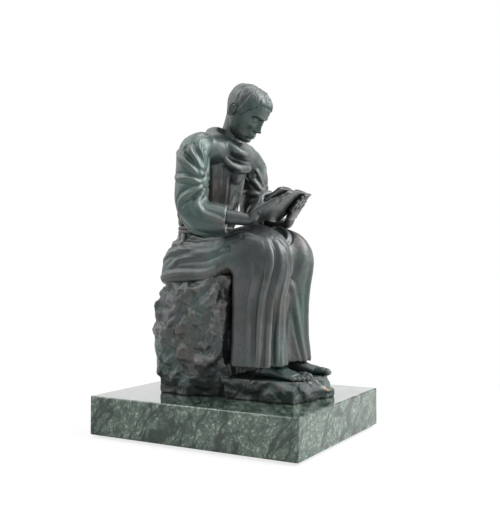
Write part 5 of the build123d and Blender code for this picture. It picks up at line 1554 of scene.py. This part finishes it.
def book_pages_form():
    """Two page blocks in one form: across the book the height swells from the gutter and falls
    to the fore edges, the top leaves curl a little, and the edges show the leaves as lines."""
    origin, across, up_page, off = book_axes()
    columns, rows = 260, 90
    x = np.linspace(-1, 1, columns)
    share = np.abs(x)
    top = np.interp(share, (0, 0.05, 0.15, 0.27, 0.38, 0.55, 0.70, 0.85, 1.0),
                    (1.0, 1.55, 2.75, 3.42, PAGES_HEIGHT, 3.45, 3.1, 2.5, 1.65))
    top = np.convolve(np.pad(top, 6, "edge"), np.ones(13) / 13, "valid")
    y = np.linspace(-1, 1, rows)[:, None]
    leaf = 0.16 * np.sin(3.1 * x + 1.4 * y) * share + 0.10 * np.cos(5 * y + 2 * x)
    level = top + leaf * ease(share, 0.05, 0.4)
    sheet = (origin + across * (x * PAGES_HALF_WIDTH)[None, :, None]
             + up_page * (y * PAGES_HALF_HEIGHT)[..., None] + off * level[..., None])
    rim = np.concatenate([sheet[0], sheet[1:, -1], sheet[-1, -2::-1], sheet[-2:0:-1, 0]])
    height = (rim - origin) @ off
    flat = rim - off * height[:, None]
    out = unit(flat - origin)
    walls = []
    for k in range(WALL_ROWS + 1):
        share_up = 1 - k / WALL_ROWS
        groove = 0.13 * (k % 3 == 1) + 0.05 * math.sin(k * 1.7)
        walls.append(flat - out * groove + off * (height * share_up)[:, None])
    walls = np.array(walls)
    count = len(rim)
    points = np.vstack([sheet.reshape(-1, 3), walls[1:].reshape(-1, 3), origin[None]])
    i, j = np.meshgrid(np.arange(rows - 1), np.arange(columns - 1), indexing="ij")
    faces = np.stack([i * columns + j, i * columns + j + 1, (i + 1) * columns + j + 1,
                      (i + 1) * columns + j], axis=-1).reshape(-1, 4)
    edge = np.concatenate([np.arange(columns), np.arange(1, rows) * columns + columns - 1,
                           (rows - 1) * columns + np.arange(columns - 2, -1, -1),
                           np.arange(rows - 2, 0, -1) * columns])
    bands = [edge] + [rows * columns + k * count + np.arange(count)
                      for k in range(len(walls) - 1)]
    for upper, lower in zip(bands, bands[1:]):
        faces = np.vstack([faces, np.stack([upper, lower, np.roll(lower, -1),
                                            np.roll(upper, -1)], axis=1)])
    last = bands[-1]
    hub = len(points) - 1
    faces = np.vstack([faces, np.stack([last, np.full(count, hub), np.roll(last, -1),
                                        np.roll(last, -1)], axis=1)])
    return outward((points, faces))


# ---------------------------------------------------------------- felt pads
def felt_form():
    """Four pads: a square with clipped corners carried up through its thickness, its edges
    drawn in a little where the felt is pressed."""
    rim = clipped_rectangle(PAD_HALF_WIDTH, PAD_HALF_WIDTH, 2.0, 160)
    angle = np.linspace(0, 2 * np.pi, len(rim), endpoint=False)
    rows = []
    for scale, level in ((0.5, 0.0), (0.93, 0.0), (0.98, 0.25), (1.0, 0.8), (1.0, 1.3),
                         (0.985, 1.8), (0.96, 2.0), (0.5, 2.0)):
        fuzz = 1 + 0.006 * np.sin(angle * 37 + level * 3) * (scale > 0.9)
        rows.append(np.column_stack([rim * (scale * fuzz)[:, None], np.full(len(rim), level)]))
    return together(*(grid(np.array(rows) + (x, y, 0)) for x, y in PAD_PLACES))


# ---------------------------------------------------------------- settings
def tint(name, text, default):
    """A setting that holds a colour."""
    return FloatVectorProperty(name=name, description=text, default=default, size=3,
                               subtype="COLOR", min=0, max=1)


def share(name, text, default, top=2.0):
    """A setting that holds a share."""
    return FloatProperty(name=name, description=text, default=default, min=0, max=top,
                         subtype="FACTOR")


class ReaderShape(bpy.types.PropertyGroup):
    chisel_bite: FloatProperty(name="Chisel bite", default=7.0, min=0, max=12,
                               description="Depth of the rock's chisel cuts in millimetres")
    crag_spacing: FloatProperty(name="Dent spacing", default=25.0, min=5, max=80,
                                description="Distance between the rock's broad dents in "
                                            "millimetres")
    crag_depth: FloatProperty(name="Dent depth", default=3.0, min=0, max=8,
                              description="Depth of the rock's broad dents in millimetres")
    crag: share("Crag", "How rough the rock's faces are broken", 1.0)
    fold_depth: share("Fold depth", "Depth of the robe's folds", 1.0)
    hair_depth: share("Hair depth", "Depth of the locks of hair", 1.0)


class ReaderLook(bpy.types.PropertyGroup):
    patina_dark: tint("Dark patina", "Green-black ground of the patina", (0.010, 0.016, 0.016))
    patina_grey: tint("Grey patina", "Brown-grey clouds of the patina", (0.036, 0.038, 0.042))
    patina_brown: tint("Brown patina", "Warm brown clouds of the patina", (0.040, 0.030, 0.023))
    brown_amount: share("Brown amount", "How much brown shows", 0.75)
    patina_teal: tint("Teal patina", "Teal patches and hollows", (0.015, 0.066, 0.052))
    teal_amount: share("Teal amount", "How much teal shows", 0.75)
    # painted shade and darker patina of the deepest hollows
    hollow_shade_and_patina: tint("Hollows", "Darkest hollows", (0.006, 0.009, 0.009))
    verdigris: tint("Verdigris", "Pale green salts in the hollows", (0.075, 0.150, 0.125))
    verdigris_amount: share("Verdigris amount", "How much pale green shows", 0.35)
    rubbed: tint("Rubbed patina", "Paler grey of the rubbed ridges", (0.095, 0.095, 0.088))
    rub_amount: share("Rub amount", "How much the ridges are rubbed", 0.40)
    bare: tint("Bare metal", "Brown-gold metal of the sharpest edges", (0.27, 0.155, 0.060))
    bare_amount: share("Bare amount", "How much bare metal shows", 0.6)
    bronze_roughness: share("Bronze roughness", "Roughness of the waxed bronze", 0.46, 1.0)
    wax: share("Wax", "Gloss of the wax coat", 0.42, 1.0)
    marble_dark: tint("Dark marble", "Dark bands of the marble", (0.006, 0.017, 0.011))
    marble_mid: tint("Mid marble", "Middle green of the marble", (0.030, 0.056, 0.040))
    marble_light: tint("Light marble", "Paler green of the marble", (0.086, 0.126, 0.094))
    marble_vein: tint("Veins", "Pale veins and flecks of the marble", (0.32, 0.375, 0.33))
    vein_amount: share("Vein amount", "Strength of the veins", 0.75)
    band_amount: share("Band amount", "Strength of the dark bands", 0.90)
    felt_dark: tint("Dark felt", "Shadows of the felt", (0.010, 0.028, 0.018))
    felt_light: tint("Light felt", "Fibres of the felt", (0.035, 0.075, 0.050))
    steel: tint("Steel", "Zinc-plated steel", (0.56, 0.57, 0.58))
    brass: tint("Pin brass", "Drawn brass rod", (0.70, 0.52, 0.25))


class ReaderStage(bpy.types.PropertyGroup):
    lens: FloatProperty(name="Lens", default=53.2, min=20, max=200,
                        description="Focal length in millimetres")
    floor_grey: share("Floor", "Whiteness of the floor", 0.86, 1.0)
    sky_light: share("Sky light", "Light from all round", 0.27)
    key_light: FloatProperty(name="Key light", default=10.0, min=0, max=100, unit="POWER",
                             description="Power of the large softbox in watts")


BRONZES = {}


class PieceOperator:
    """What the operators share: the statue's settings and its bronze."""
    bl_options = {"REGISTER", "UNDO"}

    def shape(self, context):
        return context.scene.reader_shape

    def bronze(self, context, bare_share=0.0):
        """The bronze with this share of bare metal, made once."""
        if bare_share not in BRONZES:
            BRONZES[bare_share] = patinated_bronze(context.scene.reader_look, bare_share)
        return BRONZES[bare_share]

    def refinish(self, names, finish):
        """Gives nodes of the solid model a finish of their own."""
        for name in names:
            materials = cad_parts[name].data.materials
            materials.clear()
            materials.append(finish)


class READER_OT_slab(PieceOperator, bpy.types.Operator):
    """Give the marble slab its polished finish"""
    bl_idname = "reader.slab"
    bl_label = "Marble Slab"

    def execute(self, context):
        self.refinish(("marble_slab",), green_marble(context.scene.reader_look))
        return {"FINISHED"}


class READER_OT_pads(PieceOperator, bpy.types.Operator):
    """Press the felt pads under the slab"""
    bl_idname = "reader.pads"
    bl_label = "Felt Pads"

    def execute(self, context):
        cast("felt_feet", felt_form(), pressed_felt(context.scene.reader_look),
             ("felt_pads",), wear=False)
        return {"FINISHED"}


class READER_OT_fixings(PieceOperator, bpy.types.Operator):
    """Finish the bolts, the strap, the screws and the dowel pins"""
    bl_idname = "reader.fixings"
    bl_label = "Fixings"

    def execute(self, context):
        look = context.scene.reader_look
        for names, title, bright, dulled, grain in (
                (("mounting_bolts", "mounting_strap", "seat_screws"), "Zinc plated steel",
                 look.steel, 0.7, (2600, 2600, 120)),
                (("waist_pins", "neck_pin", "shoulder_pins"), "Drawn brass",
                 look.brass, 0.6, (2600, 2600, 90))):
            dark = tuple(dulled * part for part in bright)
            self.refinish(names, drawn_metal(title, bright, dark, grain))
        return {"FINISHED"}


class READER_OT_rock(PieceOperator, bpy.types.Operator):
    """Hew the rock seat"""
    bl_idname = "reader.rock"
    bl_label = "Rock Seat"

    def execute(self, context):
        shape = self.shape(context)
        form = craggy(rock_form(shape), shape)
        cast("rock", form, self.bronze(context, 1.0), ("rock_seat",))
        return {"FINISHED"}


class READER_OT_robe(PieceOperator, bpy.types.Operator):
    """Drape the robe's skirt, body and sleeves, with its collar and rope girdle"""
    bl_idname = "reader.robe"
    bl_label = "Robe"

    def execute(self, context):
        shape, bronze = self.shape(context), self.bronze(context)
        cast("skirt", skirt_form(shape), bronze, ("robe_skirt",))
        cast("upper_robe", upper_robe_form(shape), bronze,
             ("torso", "left_sleeve", "right_sleeve"))
        cast("rope_girdle", together(rope_form(), knot_form()), bronze,
             ("girdle",))
        return {"FINISHED"}


class READER_OT_head(PieceOperator, bpy.types.Operator):
    """Model the bowed head with its hair, ears and neck"""
    bl_idname = "reader.head"
    bl_label = "Head"

    def execute(self, context):
        form = together(grid(head_surface(self.shape(context))), neck_form(), ear_form(1),
                        ear_form(-1))
        cast("bowed_head", form, self.bronze(context), ("head",))
        return {"FINISHED"}


class READER_OT_hands(PieceOperator, bpy.types.Operator):
    """Model the two hands that hold the book"""
    bl_idname = "reader.hands"
    bl_label = "Hands"

    def execute(self, context):
        points, faces = hand_form()
        bronze = self.bronze(context)
        cast("hand_left", (points, faces), bronze, ("left_hand",))
        cast("hand_right", outward((points * (-1, 1, 1), faces)), bronze,
             ("right_hand",))
        return {"FINISHED"}


class READER_OT_feet(PieceOperator, bpy.types.Operator):
    """Model the two bare feet"""
    bl_idname = "reader.feet"
    bl_label = "Feet"

    def execute(self, context):
        points, faces = foot_form(FOOT_X, 1)
        bronze = self.bronze(context)
        cast("foot_left", (points, faces), bronze, ("left_foot",))
        cast("foot_right", outward((points * (-1, 1, 1), faces)), bronze,
             ("right_foot",))
        return {"FINISHED"}


class READER_OT_book(PieceOperator, bpy.types.Operator):
    """Bind the open book"""
    bl_idname = "reader.book"
    bl_label = "Open Book"

    def execute(self, context):
        bronze = self.bronze(context)
        cast("book_boards", book_cover_form(), bronze, ("book_cover",))
        cast("book_leaves", book_pages_form(), bronze,
             ("book_pages",))
        return {"FINISHED"}


class READER_OT_stage(PieceOperator, bpy.types.Operator):
    """Set the floor, the lights, the world and the camera"""
    bl_idname = "reader.stage"
    bl_label = "Stage"

    def execute(self, context):
        stage = context.scene.reader_stage
        mesh = bpy.data.meshes.new("floor")
        size = FLOOR_HALF_WIDTH
        mesh.from_pydata([(-size, -size, 0), (size, -size, 0), (size, size, 0),
                          (-size, size, 0)], [], [(0, 1, 2, 3)])
        floor = bpy.data.objects.new("floor", mesh)
        context.scene.collection.objects.link(floor)
        finish = Finish("Studio floor")
        cloud = finish.grain(3, 2)
        tone = stage.floor_grey
        colour = finish.mix(cloud, (tone, tone, tone), (tone * 1.01,) * 3)
        matt = finish.node("ShaderNodeBsdfDiffuse", {}, {"Color": colour}, "BSDF")
        white = finish.node("ShaderNodeEmission", {}, {"Color": (1, 1, 1), "Strength": 1.0},
                            "Emission")
        seen = finish.node("ShaderNodeLightPath", output="Is Camera Ray")
        away = finish.node("ShaderNodeVectorMath", {"operation": "LENGTH"},
                           {0: finish.place()}, "Value")
        clear = finish.step(away, 0.12, 0.40, 0.78, 1.0)
        blend = finish.node("ShaderNodeMixShader", {}, {0: seen * clear, 1: matt, 2: white},
                            "Shader")
        finish.close(blend)
        mesh.materials.append(finish.material)

        world = bpy.data.worlds.new("studio")
        context.scene.world = world
        sky = Nodes(world, "ShaderNodeOutputWorld")
        camera_ray = sky.node("ShaderNodeLightPath", output="Is Camera Ray")
        shown = camera_ray.math("MAXIMUM", camera_ray, camera_ray.beside("Is Glossy Ray"))
        shown = shown.math("MAXIMUM", shown, camera_ray.beside("Is Transmission Ray"))
        strength = sky.node("ShaderNodeMapRange", {}, {
            "Value": shown, "To Min": stage.sky_light, "To Max": 1.0})
        sky.close(sky.node("ShaderNodeBackground", {},
                           {"Color": (1, 1, 1), "Strength": strength}))

        for name, place, width, key_share in LAMPS:
            data = bpy.data.lights.new(name, "AREA")
            data.shape = "SQUARE"
            data.size = width
            data.energy = stage.key_light * key_share
            set_up(context, name, data, Vector(place), Vector(LAMP_AIM))

        data = bpy.data.cameras.new("camera")
        data.lens = stage.lens
        data.clip_start, data.clip_end = 0.01, 50
        place = Vector(CAMERA_PLACE)
        context.scene.camera = set_up(context, "camera", data, place,
                                      place - Vector(CAMERA_BACK))
        context.scene.view_settings.view_transform = "Standard"
        return {"FINISHED"}


def set_up(context, name, data, place, aim):
    """Puts a lamp or a camera at its place, with its -Z on the aim and its Y up."""
    thing = bpy.data.objects.new(name, data)
    context.scene.collection.objects.link(thing)
    thing.location = place
    thing.rotation_euler = (aim - place).to_track_quat("-Z", "Y").to_euler()
    return thing


class READER_PT_panel(bpy.types.Panel):
    """Lists the statue's operators and settings in the sidebar"""
    bl_idname = "READER_PT_panel"
    bl_label = "Bronze Reader"
    bl_space_type = "VIEW_3D"
    bl_region_type = "UI"
    bl_category = "Bronze Reader"

    def draw(self, context):
        for operator in OPERATORS:
            self.layout.operator(operator.bl_idname)
        for group in (context.scene.reader_shape, context.scene.reader_look,
                      context.scene.reader_stage):
            box = self.layout.box()
            for name in group.bl_rna.properties.keys():
                if name not in ("rna_type", "name"):
                    box.prop(group, name)


GROUPS = (ReaderShape, ReaderLook, ReaderStage)
OPERATORS = (READER_OT_stage, READER_OT_slab, READER_OT_pads, READER_OT_fixings,
             READER_OT_rock, READER_OT_robe, READER_OT_head, READER_OT_hands, READER_OT_feet,
             READER_OT_book)


def register():
    for cls in (*GROUPS, *OPERATORS, READER_PT_panel):
        bpy.utils.register_class(cls)
    bpy.types.Scene.reader_shape = PointerProperty(type=ReaderShape)
    bpy.types.Scene.reader_look = PointerProperty(type=ReaderLook)
    bpy.types.Scene.reader_stage = PointerProperty(type=ReaderStage)


def unregister():
    del bpy.types.Scene.reader_stage
    del bpy.types.Scene.reader_look
    del bpy.types.Scene.reader_shape
    for cls in (READER_PT_panel, *reversed(OPERATORS), *reversed(GROUPS)):
        bpy.utils.unregister_class(cls)


def main():
    register()
    bpy.ops.reader.stage()
    bpy.ops.reader.slab()
    bpy.ops.reader.pads()
    bpy.ops.reader.fixings()
    bpy.ops.reader.rock()
    bpy.ops.reader.robe()
    bpy.ops.reader.head()
    bpy.ops.reader.hands()
    bpy.ops.reader.feet()
    bpy.ops.reader.book()


if __name__ == "__main__":
    main()
